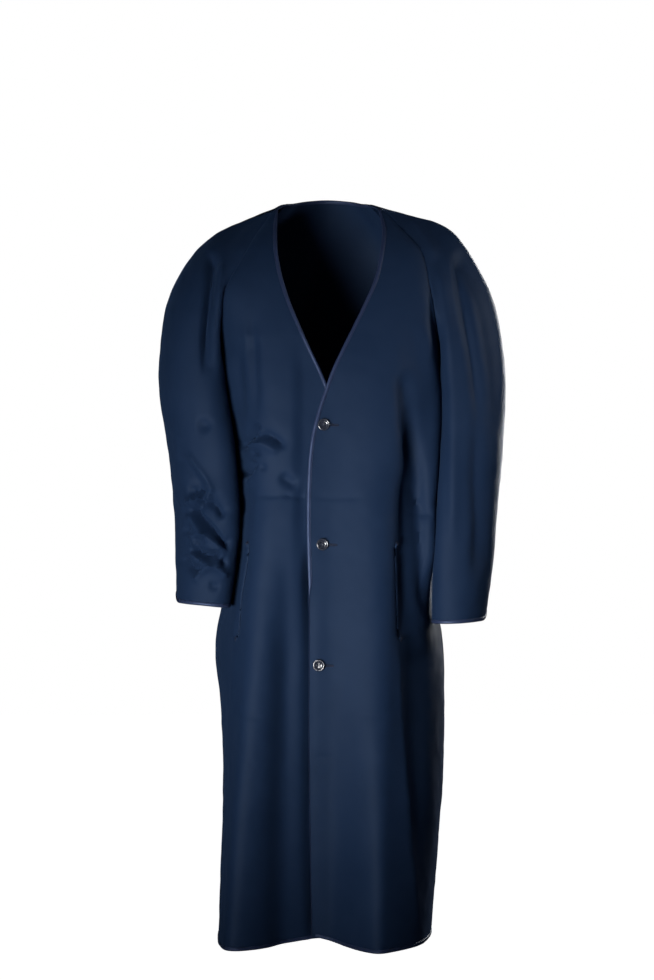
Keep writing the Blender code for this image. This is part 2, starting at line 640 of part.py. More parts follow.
def tape_sections(rows, normals, ends_off_seams=False):
    """Sections of binding along an edge, from arrays that run into the cloth and along the edge."""
    sections = []
    last = rows.shape[1] - 1
    for column in range(last + 1):
        points, across = rows[:, column], normals[:, column]
        if ends_off_seams and column in (0, last):
            neighbour = 1 if column == 0 else last - 1
            share = OFF_SEAM / np.linalg.norm(rows[0, neighbour] - rows[0, column])
            points = points + (rows[:, neighbour] - points) * share
            across = across + (normals[:, neighbour] - across) * share
        sections.append(tape_section(points, across))
    return sections


def whole_sleeve(word, cloth):
    """The points and normals of both halves of a sleeve as one tube."""
    front, back = cloth[f"sleeve_{word}_front"], cloth[f"sleeve_{word}_back"]
    return tuple(np.concatenate([front[i], back[i][:, 1:]], axis=1) for i in (0, 1))


def edge_binding(cloth, collection):
    """One binding up the under front, round the neck and down the top front."""
    fronts = {}
    neck = slice(YOKE_ROWS + 1, YOKE_ROWS + NECK_SPANS + 2)
    for word in ("right", "left"):
        rows, normals = (grid.transpose(1, 0, 2) for grid in cloth["front_" + word])
        tube, around = whole_sleeve(word, cloth)
        fronts[word] = tape_sections(rows, normals)
        fronts[word] += tape_sections(tube[:, neck], around[:, neck], ends_off_seams=True)
    back = tape_sections(*(grid[::-1] for grid in cloth["back"]))
    strip_of("edge_binding", fronts["right"] + back + fronts["left"][::-1], SATIN, collection)


def hem_binding(cloth, collection):
    """One binding round the hem, from beside one front edge to beside the other."""
    right, left = (tape_sections(*(grid[:, 1:] for grid in cloth["front_" + word]))
                   for word in ("right", "left"))
    back = tape_sections(*(grid[:, 1:-1] for grid in cloth["back"]))
    strip_of("hem_binding", right + back + left[::-1], SATIN, collection)


def cuff_binding(word, cloth, collection):
    """A closed ring of binding round one cuff."""
    sections = []
    for half in ("front", "back"):
        rows, normals = cloth[f"sleeve_{word}_{half}"]
        for column in range(rows.shape[1] - 1):
            sections.append(tape_section(rows[::-1, column], normals[::-1, column]))
    strip_of(f"cuff_binding_{word}", sections, SATIN, collection, closed=True)


def surface_of(piece):
    """A search tree of one piece's faces, to set other pieces on it."""
    return BVHTree.FromPolygons([vertex.co for vertex in piece.data.vertices],
                                [face.vertices for face in piece.data.polygons])


def on_surface(surface, x, z):
    """The point of the surface in front at x and z, and its normal."""
    place, normal, _, _ = surface.ray_cast(Vector((x, -1.0, z)), Vector((0.0, 1.0, 0.0)))
    return np.array(place), np.array(normal)


def nearest(surface, point):
    """The point of the surface nearest to this one, and its normal on the outside."""
    place, normal, _, _ = surface.find_nearest(Vector(point))
    normal = np.array(normal)
    return np.array(place), normal if normal[1] < 0 else -normal


def button_cutter():
    """Four thread holes as one joined shape of four bars."""
    shape = bmesh.new()
    for across in (-1, 1):
        for along in (-1, 1):
            move = Matrix.Translation((across * BUTTON_HOLE_SPACING, along * BUTTON_HOLE_SPACING, 0))
            bmesh.ops.create_cone(shape, cap_ends=True, segments=8, radius1=BUTTON_HOLE_RADIUS,
                                  radius2=BUTTON_HOLE_RADIUS, depth=BUTTON_HEIGHT * 4, matrix=move)
    mesh = bpy.data.meshes.new("button_holes")
    shape.to_mesh(mesh)
    shape.free()
    return mesh


def button(number, x, z, surface, cutter_mesh, collection, cutters):
    """A turned button with a raised rim, a dished middle and four holes, square to the cloth."""
    profile = (              # radius, height as shares of the button's own
        (0.00, 0.00), (0.62, 0.00), (0.90, 0.20), (1.00, 0.55), (0.96, 0.86), (0.86, 1.00), (0.72, 0.94),
        (0.56, 0.70), (0.00, 0.64),
    )
    shape = bmesh.new()
    corners = [shape.verts.new((r * BUTTON_RADIUS, 0, h * BUTTON_HEIGHT)) for r, h in profile]
    edges = [shape.edges.new(pair) for pair in zip(corners, corners[1:])]
    bmesh.ops.spin(shape, geom=corners + edges, axis=(0, 0, 1), cent=(0, 0, 0), steps=20,
                   angle=2 * math.pi, use_merge=True)
    bmesh.ops.remove_doubles(shape, verts=shape.verts[:], dist=1e-6)
    made = object_of(f"button_{number}", shape, HORN, collection)
    place, normal = on_surface(surface, x, z)
    turn = Vector(normal).to_track_quat("Z", "Y").to_matrix().to_4x4()
    made.matrix_world = Matrix.Translation(place + normal * BUTTON_CLEAR) @ turn
    cutter = bpy.data.objects.new(f"button_{number}_holes", cutter_mesh)
    cutter.matrix_world = made.matrix_world
    cutter.hide_render = True
    cutter.display_type = "WIRE"
    cutters.objects.link(cutter)
    cut = made.modifiers.new("thread holes", "BOOLEAN")
    cut.operation = "DIFFERENCE"
    cut.object = cutter


def pocket(word, upper, lower, surface, collection):
    """The two jets of a slit pocket, made from the front's own points, moved out."""
    ends = [on_surface(surface, *end)[0] for end in (upper, lower)]
    profile = ((0.0, 0.0), (0.0, 0.75), (0.25, 1.0), (0.80, 0.9), (1.0, 0.3), (1.0, 0.0), (0.5, 0.0))
    to_side = -1 if word == "left" else 1
    for name, way in (("side", to_side), ("front", -to_side)):
        sections = []
        for i in range(JET_SPANS + 1):
            guess = ends[0] + (ends[1] - ends[0]) * i / JET_SPANS
            middle, normal = nearest(surface, guess)
            across = unit(np.cross(ends[1] - ends[0], normal)) * way
            section = []
            for share, height in profile:
                place, up = nearest(surface, middle + across * (JET_SLIT / 2 + JET_WIDTH * share))
                section.append(place + up * (JET_CLEAR + JET_HEIGHT * height))
            sections.append(section)
        strip_of(f"pocket_{word}_jet_{name}", sections, NAVY, collection)


def main():
    for old in list(bpy.data.objects):
        bpy.data.objects.remove(old)
    coat = bpy.data.collections.new("raglan_coat")
    cutters = bpy.data.collections.new("cutters")
    bpy.context.scene.collection.children.link(coat)
    bpy.context.scene.collection.children.link(cutters)
    cloth = panels()
    sewn = {"front_right": ("last_row", "last_column"), "front_left": ("last_row", "last_column"),
            "back": ("first_column", "last_column")}
    walls = {}
    for name, (rows, normals) in cloth.items():
        seams = sewn.get(name, ("first_row", "first_column", "last_column"))
        walls[name] = cloth_wall(name, drawn_back(rows, seams), normals, coat)
    edge_binding(cloth, coat)
    hem_binding(cloth, coat)
    for word in ("right", "left"):
        cuff_binding(word, cloth, coat)
    surfaces = {word: surface_of(walls["front_" + word]) for word in ("right", "left")}
    holes = button_cutter()
    for number, (x, z) in enumerate(BUTTONS, 1):
        button(number, x, z, surfaces["left"], holes, coat, cutters)
    for word, upper, lower in POCKETS:
        pocket(word, upper, lower, surfaces[word], coat)


main()
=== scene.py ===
# %% [markdown]
# # A collarless raglan coat
# A long navy wool coat, worn and buttoned, with full rounded raglan shoulders, a deep V neck and
# a narrow satin binding round every raw edge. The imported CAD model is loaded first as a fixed
# frame, and every visible piece is then built around it in the same metres and the same place.
# %% Load the frame
import math
from functools import lru_cache

import bmesh
import bpy
import numpy as np
from mathutils import Matrix, Vector, noise
from mathutils.bvhtree import BVHTree


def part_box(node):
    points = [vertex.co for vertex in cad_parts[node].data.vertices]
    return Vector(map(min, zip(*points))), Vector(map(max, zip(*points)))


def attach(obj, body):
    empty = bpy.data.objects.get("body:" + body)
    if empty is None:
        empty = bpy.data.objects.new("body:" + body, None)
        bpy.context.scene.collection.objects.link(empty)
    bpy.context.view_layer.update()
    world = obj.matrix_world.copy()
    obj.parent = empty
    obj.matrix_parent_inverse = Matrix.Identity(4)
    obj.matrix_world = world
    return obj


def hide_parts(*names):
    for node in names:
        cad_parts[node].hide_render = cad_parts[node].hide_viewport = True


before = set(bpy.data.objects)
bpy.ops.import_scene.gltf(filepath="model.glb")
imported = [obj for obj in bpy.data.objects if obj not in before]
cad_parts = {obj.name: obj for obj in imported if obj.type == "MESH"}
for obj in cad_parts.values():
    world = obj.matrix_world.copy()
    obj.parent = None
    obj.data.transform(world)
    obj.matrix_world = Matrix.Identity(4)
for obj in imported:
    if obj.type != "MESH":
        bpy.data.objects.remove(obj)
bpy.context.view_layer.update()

# %% [markdown]
# ## Camera first
# Folds are easiest to place where they are seen, so the camera comes before the cloth. It stands
# level, 4 m in front of the coat, and a long lens keeps the coat's sides almost parallel. A point
# on the coat lands on a known place in the 654 by 980 picture, which `seen` works out. Every fold
# table below is written in those picture places.
# %% Camera and the picture's own coordinates
PICTURE_WIDE, PICTURE_TALL = 654, 980
PLACES_PER_METRE = 630.0
CAMERA_AWAY = 4.0
EYE_HEIGHT = -0.4365
SENSOR_MM = 36.0

camera_data = bpy.data.cameras.new("camera")
camera_data.sensor_fit = "VERTICAL"
camera_data.sensor_height = SENSOR_MM
camera_data.lens = SENSOR_MM * CAMERA_AWAY * PLACES_PER_METRE / PICTURE_TALL
camera = bpy.data.objects.new("camera", camera_data)
camera.location = (0.0, -CAMERA_AWAY, EYE_HEIGHT)
camera.rotation_euler = (math.radians(90), 0, 0)
bpy.context.scene.collection.objects.link(camera)
bpy.context.scene.camera = camera


def seen(points):
    """Where points of the coat land in the picture: places across and places down."""
    scale = PLACES_PER_METRE / (1 + points[..., 1] / CAMERA_AWAY)
    across = PICTURE_WIDE / 2 + points[..., 0] * scale
    down = PICTURE_TALL / 2 - (points[..., 2] - EYE_HEIGHT) * scale
    return np.stack([across, down], axis=-1)


print("lens", round(camera_data.lens, 2), "mm")

# %% [markdown]
# ## The form of the cloth
# A coat hangs as a few smooth cross sections: flat over the chest, turned at the front corners,
# round at the sides. The same named sections that made the solids are used again here, because
# the cloth has to lie on them, but they are read at many more places. A smooth curve runs through
# the rows of each short table, so hundreds of rows of cloth come from sixteen measured ones.
# %% Sizes of the cut and the sections of the body
CLOTH = 0.0020               # how thick a wall of cloth is
SEAM_GAP = 0.00002           # between the walls on both sides of a seam
LAP_GAP = 0.0052             # how far the under front lies behind the top front
LAP_FROM, LAP_TO = -0.056, -0.034
LAP_STARTS = (-0.195, -0.255)
UNDERARM_Z = -0.285
NECK_Z = 0.002
HEM_Z = -1.143
FRONT_TIP_LIFT = 0.003
BACK_NECK_LIFT = 0.0205
BACK_NECK_ARCH = 0.010
SIDE_NECK_BULGE = 0.005
YOKE_CROWDING = 1.3          # above 1 the yoke's rows stand closer together near the neck
CORNER_SPEED = 0.42          # how fully a section turns at its corners
PAST_SEAM = 1e-6

COLUMNS = ("z", "front_x", "front_y", "side_x", "side_y", "turn", "back_x", "back_y")
RIGHT_SIDE = (
    (+0.002, 0.0760, -0.030, 0.0890, -0.025, 16, 0.045, 0.072),
    (-0.035, 0.0900, -0.062, 0.1120, -0.050, 42, 0.070, 0.094),
    (-0.062, 0.0920, -0.082, 0.1263, -0.068, 45, 0.080, 0.106),
    (-0.118, 0.0960, -0.106, 0.1560, -0.086, 50, 0.095, 0.120),
    (-0.157, 0.1000, -0.116, 0.1647, -0.083, 60, 0.104, 0.124),
    (-0.210, 0.1040, -0.122, 0.1669, -0.060, 74, 0.110, 0.125),
    (-0.285, 0.1080, -0.124, 0.1680, +0.000, 90, 0.116, 0.122),
    (-0.360, 0.1080, -0.120, 0.1632, +0.030, 80, 0.124, 0.118),
    (-0.447, 0.1080, -0.113, 0.1512, +0.040, 76, 0.122, 0.116),
    (-0.530, 0.1120, -0.116, 0.1520, +0.045, 78, 0.116, 0.120),
    (-0.610, 0.1190, -0.117, 0.1660, +0.050, 76, 0.118, 0.126),
    (-0.690, 0.1220, -0.118, 0.1800, +0.055, 84, 0.124, 0.132),
    (-0.780, 0.1270, -0.120, 0.1710, +0.058, 90, 0.124, 0.136),
    (-0.900, 0.1350, -0.124, 0.1660, +0.058, 90, 0.122, 0.142),
    (-1.020, 0.1430, -0.127, 0.1690, +0.052, 90, 0.124, 0.148),
    (-1.143, 0.1500, -0.128, 0.1720, +0.045, 90, 0.128, 0.154),
)
LEFT_SIDE = (
    (+0.002, 0.0800, -0.030, 0.0930, -0.025, 16, 0.045, 0.072),
    (-0.035, 0.0950, -0.062, 0.1240, -0.050, 42, 0.070, 0.094),
    (-0.062, 0.0980, -0.082, 0.1466, -0.068, 45, 0.082, 0.106),
    (-0.118, 0.1030, -0.106, 0.1595, -0.088, 50, 0.098, 0.120),
    (-0.157, 0.1080, -0.116, 0.1665, -0.090, 58, 0.106, 0.124),
    (-0.210, 0.1130, -0.122, 0.1765, -0.066, 72, 0.114, 0.125),
    (-0.285, 0.1170, -0.124, 0.1830, +0.000, 90, 0.122, 0.122),
    (-0.360, 0.1180, -0.123, 0.1855, +0.034, 66, 0.144, 0.112),
    (-0.447, 0.1040, -0.122, 0.1820, +0.043, 62, 0.142, 0.110),
    (-0.530, 0.1010, -0.124, 0.1735, +0.048, 74, 0.128, 0.118),
    (-0.610, 0.1000, -0.125, 0.1750, +0.052, 70, 0.122, 0.126),
    (-0.690, 0.0990, -0.126, 0.1870, +0.055, 76, 0.126, 0.132),
    (-0.780, 0.0970, -0.130, 0.1890, +0.058, 90, 0.128, 0.136),
    (-0.900, 0.0930, -0.138, 0.1860, +0.058, 90, 0.126, 0.142),
    (-1.020, 0.0890, -0.148, 0.1770, +0.054, 90, 0.124, 0.148),
    (-1.143, 0.0850, -0.156, 0.1660, +0.048, 90, 0.124, 0.154),
)
BACK_NECK_X = 0.0665
BACK_SEAM = (                # rise, out, y
    (1.00, 0.00, 0.046), (0.88, 0.30, 0.063), (0.79, 0.47, 0.074), (0.69, 0.63, 0.085),
    (0.58, 0.78, 0.093), (0.46, 0.88, 0.096), (0.33, 0.94, 0.089), (0.20, 0.97, 0.069),
    (0.10, 0.99, 0.038), (0.00, 1.00, 0.000),
)
CENTRE = (                   # z, front y, back y
    (+0.002, -0.050, 0.086), (-0.035, -0.078, 0.104), (-0.062, -0.093, 0.115),
    (-0.118, -0.112, 0.128), (-0.210, -0.130, 0.134), (-0.285, -0.135, 0.130),
    (-0.447, -0.130, 0.118), (-0.610, -0.126, 0.130), (-0.780, -0.119, 0.141),
    (-0.900, -0.110, 0.148), (-1.020, -0.098, 0.155), (-1.143, -0.082, 0.162),
)
UNDER_EDGE = (               # z, x of the under front's free edge
    (+0.002, -0.0790), (-0.055, -0.0785), (-0.098, -0.0720), (-0.142, -0.0590), (-0.188, -0.0400),
    (-0.218, -0.0265), (-0.248, -0.0120), (-0.279, +0.0010), (-0.315, +0.0120), (-0.380, +0.0145),
    (-0.600, +0.0145), (-1.143, +0.0145),
)
TOP_EDGE = (                 # z, x of the top front's free edge
    (+0.002, +0.0830), (-0.030, +0.0875), (-0.070, +0.0830), (-0.112, +0.0735), (-0.158, +0.0535),
    (-0.204, +0.0310), (-0.248, +0.0100), (-0.279, -0.0015), (-0.318, -0.0145), (-0.360, -0.0240),
    (-0.420, -0.0290), (-0.500, -0.0300), (-0.620, -0.0270), (-0.800, -0.0275), (-1.143, -0.0220),
)
FLUTES = (                   # q at the top, its z, q at the foot, its z, depth, half width in q
    (-0.235, -0.540, -0.165, -1.143, -0.0200, 0.092),
    (-0.45, -0.620, -0.46, -1.143, +0.0060, 0.110),
    (+0.72, -0.780, +0.74, -1.143, +0.0130, 0.140),
    (-1.14, -0.235, -1.14, -0.440, +0.0060, 0.060),
    (+1.14, -0.235, +1.14, -0.440, +0.0090, 0.060),
    (+0.60, -0.300, +0.64, -0.700, -0.0090, 0.060),
    (+0.74, -0.330, +0.78, -0.620, +0.0060, 0.060),
    (-0.60, -0.170, -0.50, -0.330, -0.0060, 0.060),
    (-1.35, -0.560, -1.32, -1.143, -0.0120, 0.090),
    (-1.62, -0.520, -1.66, -1.143, +0.0100, 0.090),
    (+1.40, -0.560, +1.36, -1.143, -0.0120, 0.090),
    (+1.68, -0.520, +1.70, -1.143, +0.0100, 0.090),
    (+2.00, -0.620, +2.00, -1.143, -0.0080, 0.080),
    (-2.00, -0.620, -2.00, -1.143, -0.0080, 0.080),
)
FLUTE_STARTS, FLUTE_ENDS = (-0.10, 0.35), (0.65, 1.10)
SIDE_FOLD_Q, SIDE_FOLD_HALF_WIDTH = 0.80, 0.115
SIDE_FOLD = (                # z, x, y: the side of the left front, pushed forward by the sleeve
    (-0.160, 0.0000, +0.0000), (-0.205, 0.0030, -0.0090), (-0.250, 0.0060, -0.0160),
    (-0.285, 0.0085, -0.0220), (-0.315, 0.0115, -0.0290), (-0.345, 0.0150, -0.0340),
    (-0.400, 0.0180, -0.0360), (-0.450, 0.0185, -0.0360), (-0.500, 0.0190, -0.0350),
    (-0.545, 0.0170, -0.0330), (-0.600, 0.0110, -0.0270), (-0.660, 0.0040, -0.0120),
    (-0.720, 0.0000, +0.0000), (-1.143, 0.0000, +0.0000),
)
print("body sections", len(RIGHT_SIDE), "and", len(LEFT_SIDE), "with", len(FLUTES), "flutes")

# %% [markdown]
# The curve through a table's rows is a Hermite curve. Each row's slope comes from its neighbours,
# which keeps the side of the coat smooth from the hem to the shoulder.
# %% Curves
def cubic(p0, p1, p2, p3, t):
    """Catmull-Rom curve from p1 to p2."""
    return 0.5 * (2 * p1 + (p2 - p0) * t + (2 * p0 - 5 * p1 + 4 * p2 - p3) * t * t
                  + (3 * p1 - p0 - 3 * p2 + p3) * t ** 3)


def hermite(p1, p2, m1, m2, t):
    """Curve from p1 to p2 that leaves along m1 and arrives along m2."""
    return ((2 * t ** 3 - 3 * t * t + 1) * p1 + (t ** 3 - 2 * t * t + t) * m1
            + (3 * t * t - 2 * t ** 3) * p2 + (t ** 3 - t * t) * m2)


def smooth(low, high, value):
    """0 at low, 1 at high, flat beyond both, and a smooth step between."""
    t = np.clip((np.asarray(value, float) - low) / (high - low), 0.0, 1.0)
    return t * t * (3 - 2 * t)


def unit(vectors):
    """The vectors, each with a length of 1."""
    return vectors / np.maximum(np.linalg.norm(vectors, axis=-1, keepdims=True), 1e-12)


def look_up(table, z):
    """A row of the table at height z, on smooth curves through its rows, which go downwards."""
    rows = np.array(table, float)
    heights = rows[:, 0]
    z = min(heights[0], max(heights[-1], z))
    i = int(min(len(rows) - 2, np.searchsorted(-heights, -z, side="right") - 1))
    step = heights[i + 1] - heights[i]
    before = rows[max(0, i - 1)]
    after = rows[min(len(rows) - 1, i + 2)]
    leave = (rows[i + 1] - before) / (rows[i + 1][0] - before[0]) * step
    arrive = (after - rows[i]) / (after[0] - rows[i][0]) * step
    return hermite(rows[i], rows[i + 1], leave, arrive, (z - heights[i]) / step)


print("a smooth step at a quarter is", round(float(smooth(0, 1, 0.25)), 3))

# %% [markdown]
# One half section of the body has five points: centre front, front corner, side, back corner and
# centre back. `q` counts round it, 0 at the centre front, 1 at the wearer's left seam, 2 at the
# centre back, and negative on the wearer's right, so a place keeps its number at every height.
# %% Sections of the body
@lru_cache(maxsize=None)
def half_section(side, z):
    """One side's named points and directions in plan at height z."""
    row = dict(zip(COLUMNS, look_up(LEFT_SIDE if side > 0 else RIGHT_SIDE, z)))
    centre = look_up(CENTRE, z)
    turn = math.radians(row["turn"])
    seam = np.array((side * row["side_x"], row["side_y"]))
    back_way = side if z <= UNDERARM_Z else -side
    return {
        "centre_front": np.array((0.0, centre[1])),
        "front": np.array((side * row["front_x"], row["front_y"])),
        "seam": seam,
        "back_seam": back_seam(side, seam, z),
        "back": np.array((side * row["back_x"], row["back_y"])),
        "centre_back": np.array((0.0, centre[2])),
        "leave_front": np.array((side * math.cos(turn), math.sin(turn))),
        "enter_back": np.array((back_way * math.cos(turn), math.sin(turn))),
    }


def back_seam(side, seam, z):
    """The back raglan seam in plan, or the side seam below the underarm."""
    if z <= UNDERARM_Z:
        return seam
    _, out, y = look_up(BACK_SEAM, (z - UNDERARM_Z) / (NECK_Z - UNDERARM_Z))
    underarm = look_up(LEFT_SIDE if side > 0 else RIGHT_SIDE, UNDERARM_Z)[COLUMNS.index("side_x")]
    return np.array((side * (BACK_NECK_X + (underarm - BACK_NECK_X) * out), y))


def half_plan(side, far, z):
    """Points of one side's section, far round it from the centre front at 0 to the back at 2."""
    points = half_section(side, z)
    outwards = np.array((float(side), 0.0))
    made = np.empty((len(far), 2))
    for is_front in (True, False):
        mine = far <= 1 if is_front else far > 1
        if not mine.any():
            continue
        if is_front:
            first, corner, last = points["centre_front"], points["front"], points["seam"]
            leave = outwards * abs(corner[0])
            arrive = points["leave_front"] * np.linalg.norm(last - corner)
            t = (far[mine] * 2)[:, None]
        else:
            first, corner, last = points["back_seam"], points["back"], points["centre_back"]
            leave = points["enter_back"] * np.linalg.norm(corner - first)
            arrive = -outwards * abs(corner[0])
            t = (far[mine] * 2 - 2)[:, None]
        through = (last - first) * CORNER_SPEED
        made[mine] = np.where(t <= 1, hermite(first, corner, leave, through, t),
                              hermite(corner, last, through, arrive, t - 1))
    return made


def body_plan(q, z):
    """Points of the body's section at height z without folds, for an array of places q."""
    made = np.empty((len(q), 2))
    for side in (-1, 1):
        mine = (q >= 0) == (side > 0)
        if mine.any():
            made[mine] = half_plan(side, np.abs(q[mine]), z)
    return made


def flute_depth(q, z):
    """How far the large flutes of the body move the cloth outwards."""
    depth = np.zeros(len(q))
    for q_top, z_top, q_foot, z_foot, most, half_width in FLUTES:
        share = (z - z_top) / (z_foot - z_top)
        middle = q_top + (q_foot - q_top) * min(1.0, max(0.0, share))
        fade = float(smooth(*FLUTE_STARTS, share))
        if z_foot > HEM_Z:
            fade *= 1 - float(smooth(*FLUTE_ENDS, share))
        depth += most * fade * np.exp(-((q - middle) / half_width) ** 2)
    return depth


def body_section(q, z):
    """The body's section at height z with its flutes, as points in plan."""
    step = 0.01
    high = np.where(np.abs(q) <= 1, 1.0, np.where(q < 0, -1.0 - PAST_SEAM, 2.0))
    low = np.where(np.abs(q) <= 1, -1.0, np.where(q < 0, -2.0, 1.0 + PAST_SEAM))
    along = body_plan(np.minimum(high, q + step), z) - body_plan(np.maximum(low, q - step), z)
    outwards = unit(np.stack([along[:, 1], -along[:, 0]], axis=1))
    made = body_plan(q, z) + outwards * flute_depth(q, z)[:, None]
    if z > SIDE_FOLD[0][0]:
        return made
    near = np.exp(-((q - SIDE_FOLD_Q) / SIDE_FOLD_HALF_WIDTH) ** 2)
    return made + near[:, None] * look_up(SIDE_FOLD, z)[1:]


right_side, left_side = body_plan(np.array([-1.0, 1.0]), -0.4)[:, 0]
print("chest width", round(float(left_side - right_side), 3), "m")

# %% [markdown]
# ## Rows and columns
# The cloth is a grid of about 3 mm down and 5 mm across, fine enough for a pressed crease. Each
# row of the solids is cut into a whole number of rows here, so both share one set of heights.
# Next to each seam two more columns stand close together, because a sewn seam turns in over
# barely two millimetres.
# %% Rows and columns of the grids
SOLID_SKIRT_ROWS, SOLID_YOKE_ROWS = 17, 10
SOLID_FRONT_COLUMNS, SOLID_BACK_COLUMNS, SOLID_SLEEVE_ROWS = 14, 20, 20
NECK_SPANS = 4
SKIRT_CUTS, YOKE_CUTS = 16, 10
FRONT_CUTS, BACK_CUTS, SLEEVE_CUTS, ROUND_CUTS = 5, 4, 12, 10
YOKE_ROWS = SOLID_YOKE_ROWS * YOKE_CUTS
SKIRT_ROWS = SOLID_SKIRT_ROWS * SKIRT_CUTS
SEAM_COLUMNS = (0.22, 0.55)


def row_heights():
    """Heights of the rows from the hem to the neck."""
    skirt = [HEM_Z + (UNDERARM_Z - HEM_Z) * i / SKIRT_ROWS for i in range(SKIRT_ROWS)]
    left = [(1 - i / YOKE_ROWS) ** YOKE_CROWDING for i in range(YOKE_ROWS + 1)]
    return np.array(skirt + [NECK_Z + (UNDERARM_Z - NECK_Z) * share for share in left])


def shares_across(count):
    """Places of the columns from 0 to 1, even but for the ones next to the seams."""
    even = list(range(count + 1))
    extra = list(SEAM_COLUMNS) + [count - share for share in SEAM_COLUMNS]
    return np.array(sorted(even + extra)) / count


HEIGHTS = row_heights()
print("rows", len(HEIGHTS), "of about", round((UNDERARM_Z - HEM_Z) / SKIRT_ROWS * 1000, 1), "mm")

# %% [markdown]
# ## The fronts and the back
# A front runs from its free edge to its seam. Its free edge is the neckline above and the closing
# edge below, so one curve of x against height sets both. The hem curves up towards it.
# %% Fronts and back as grids of points
TOP_HEM_RISE, UNDER_HEM_RISE, HEM_RISE_REACH = 0.011, 0.009, 0.12


def hem_rise(side, x):
    """How much the hem curves up towards each front's free edge."""
    if side > 0:
        return TOP_HEM_RISE * (1 - smooth(-0.022, 0.050, x)) ** 1.5
    return UNDER_HEM_RISE * smooth(-0.095, 0.010, x)


def front_grid(side):
    """Rows of points of one front, from the hem up, each from its free edge to its seam."""
    edge = TOP_EDGE if side > 0 else UNDER_EDGE
    shares = shares_across(SOLID_FRONT_COLUMNS * FRONT_CUTS)
    trial = np.linspace(-0.75, 0.75, 301)
    rows = []
    for z in HEIGHTS:
        first = np.interp(look_up(edge, z)[1], body_plan(trial, z)[:, 0], trial)
        plan = body_section(first + (side - first) * shares, z)
        x, y = plan[:, 0], plan[:, 1]
        if side < 0:
            y = y + LAP_GAP * smooth(LAP_FROM, LAP_TO, x) * smooth(*LAP_STARTS, z)
        lift = hem_rise(side, x) * (1 - smooth(0.0, HEM_RISE_REACH, z - HEM_Z))
        rows.append(np.stack([x, y, z + lift], axis=1))
    rows = np.array(rows)
    tip = rows[-1, 0] + np.array((0.0, 0.0, FRONT_TIP_LIFT))
    line = tip + (rows[-1, -1] - tip) * shares[:, None]
    last_solid_row = NECK_Z + (UNDERARM_Z - NECK_Z) * (1 / SOLID_YOKE_ROWS) ** YOKE_CROWDING
    share = np.clip((HEIGHTS - last_solid_row) / (NECK_Z - last_solid_row), 0, 1)
    rows += (line - rows[-1])[None] * share[:, None, None]
    return rows


def back_grid():
    """Rows of points of the back, from the hem up, each from the right seam to the left one."""
    turned = 2 * shares_across(SOLID_BACK_COLUMNS * BACK_CUTS)
    turned = np.clip(turned, PAST_SEAM, 2 - PAST_SEAM)
    q = np.where(turned <= 1, -1 - turned, 3 - turned)
    rows = []
    for z in HEIGHTS:
        rise = max(0.0, (z - UNDERARM_Z) / (NECK_Z - UNDERARM_Z))
        plan = body_section(q, z)
        arch = BACK_NECK_ARCH * smooth(0.0, 1.0, np.abs(q) - 1) * rise ** 3
        rows.append(np.column_stack([plan, z + BACK_NECK_LIFT * rise + arch]))
    return np.array(rows)


grids = {"front_right": front_grid(-1), "front_left": front_grid(1), "back": back_grid()}
print({name: rows.shape[:2] for name, rows in grids.items()})

# %% [markdown]
# ## The sleeves
# A raglan sleeve is a tube whose upper end is sewn to the fronts and the back all the way to the
# neck. Rings run down it. Each has four named points, outer, front, inner and back, and is a
# smooth loop through them. The first ring is the seam line itself, and the difference between it
# and a plain loop fades over the next rings, as the cloth does.
# %% Rings of the sleeves
RIGHT_RINGS = (              # outer, front, inner, back
    ((-0.1333, 0.016, -0.0079), (-0.162, -0.089, -0.123), (-0.169, 0.000, -0.289), (-0.155, 0.101, -0.112)),
    ((-0.180, 0.014, -0.030), (-0.176, -0.093, -0.143), (-0.1695, 0.000, -0.294), (-0.172, 0.102, -0.134)),
    ((-0.2206, 0.012, -0.0714), (-0.190, -0.096, -0.170), (-0.170, -0.002, -0.300), (-0.188, 0.103, -0.164)),
    ((-0.2524, 0.010, -0.1349), (-0.203, -0.097, -0.208), (-0.1680, -0.005, -0.310), (-0.202, 0.103, -0.204)),
    ((-0.2655, 0.010, -0.210), (-0.210, -0.097, -0.260), (-0.1640, -0.010, -0.328), (-0.210, 0.101, -0.258)),
    ((-0.2665, 0.010, -0.280), (-0.209, -0.096, -0.315), (-0.1570, -0.015, -0.358), (-0.209, 0.099, -0.314)),
    ((-0.254, 0.008, -0.362), (-0.203, -0.094, -0.386), (-0.1510, -0.020, -0.410), (-0.204, 0.092, -0.386)),
    ((-0.243, 0.000, -0.4683), (-0.194, -0.090, -0.480), (-0.1455, -0.026, -0.492), (-0.195, 0.073, -0.480)),
    ((-0.2395, -0.010, -0.540), (-0.194, -0.088, -0.546), (-0.1470, -0.030, -0.552), (-0.194, 0.057, -0.546)),
    ((-0.2385, -0.018, -0.612), (-0.198, -0.085, -0.615), (-0.1560, -0.030, -0.618), (-0.198, 0.044, -0.614)),
)
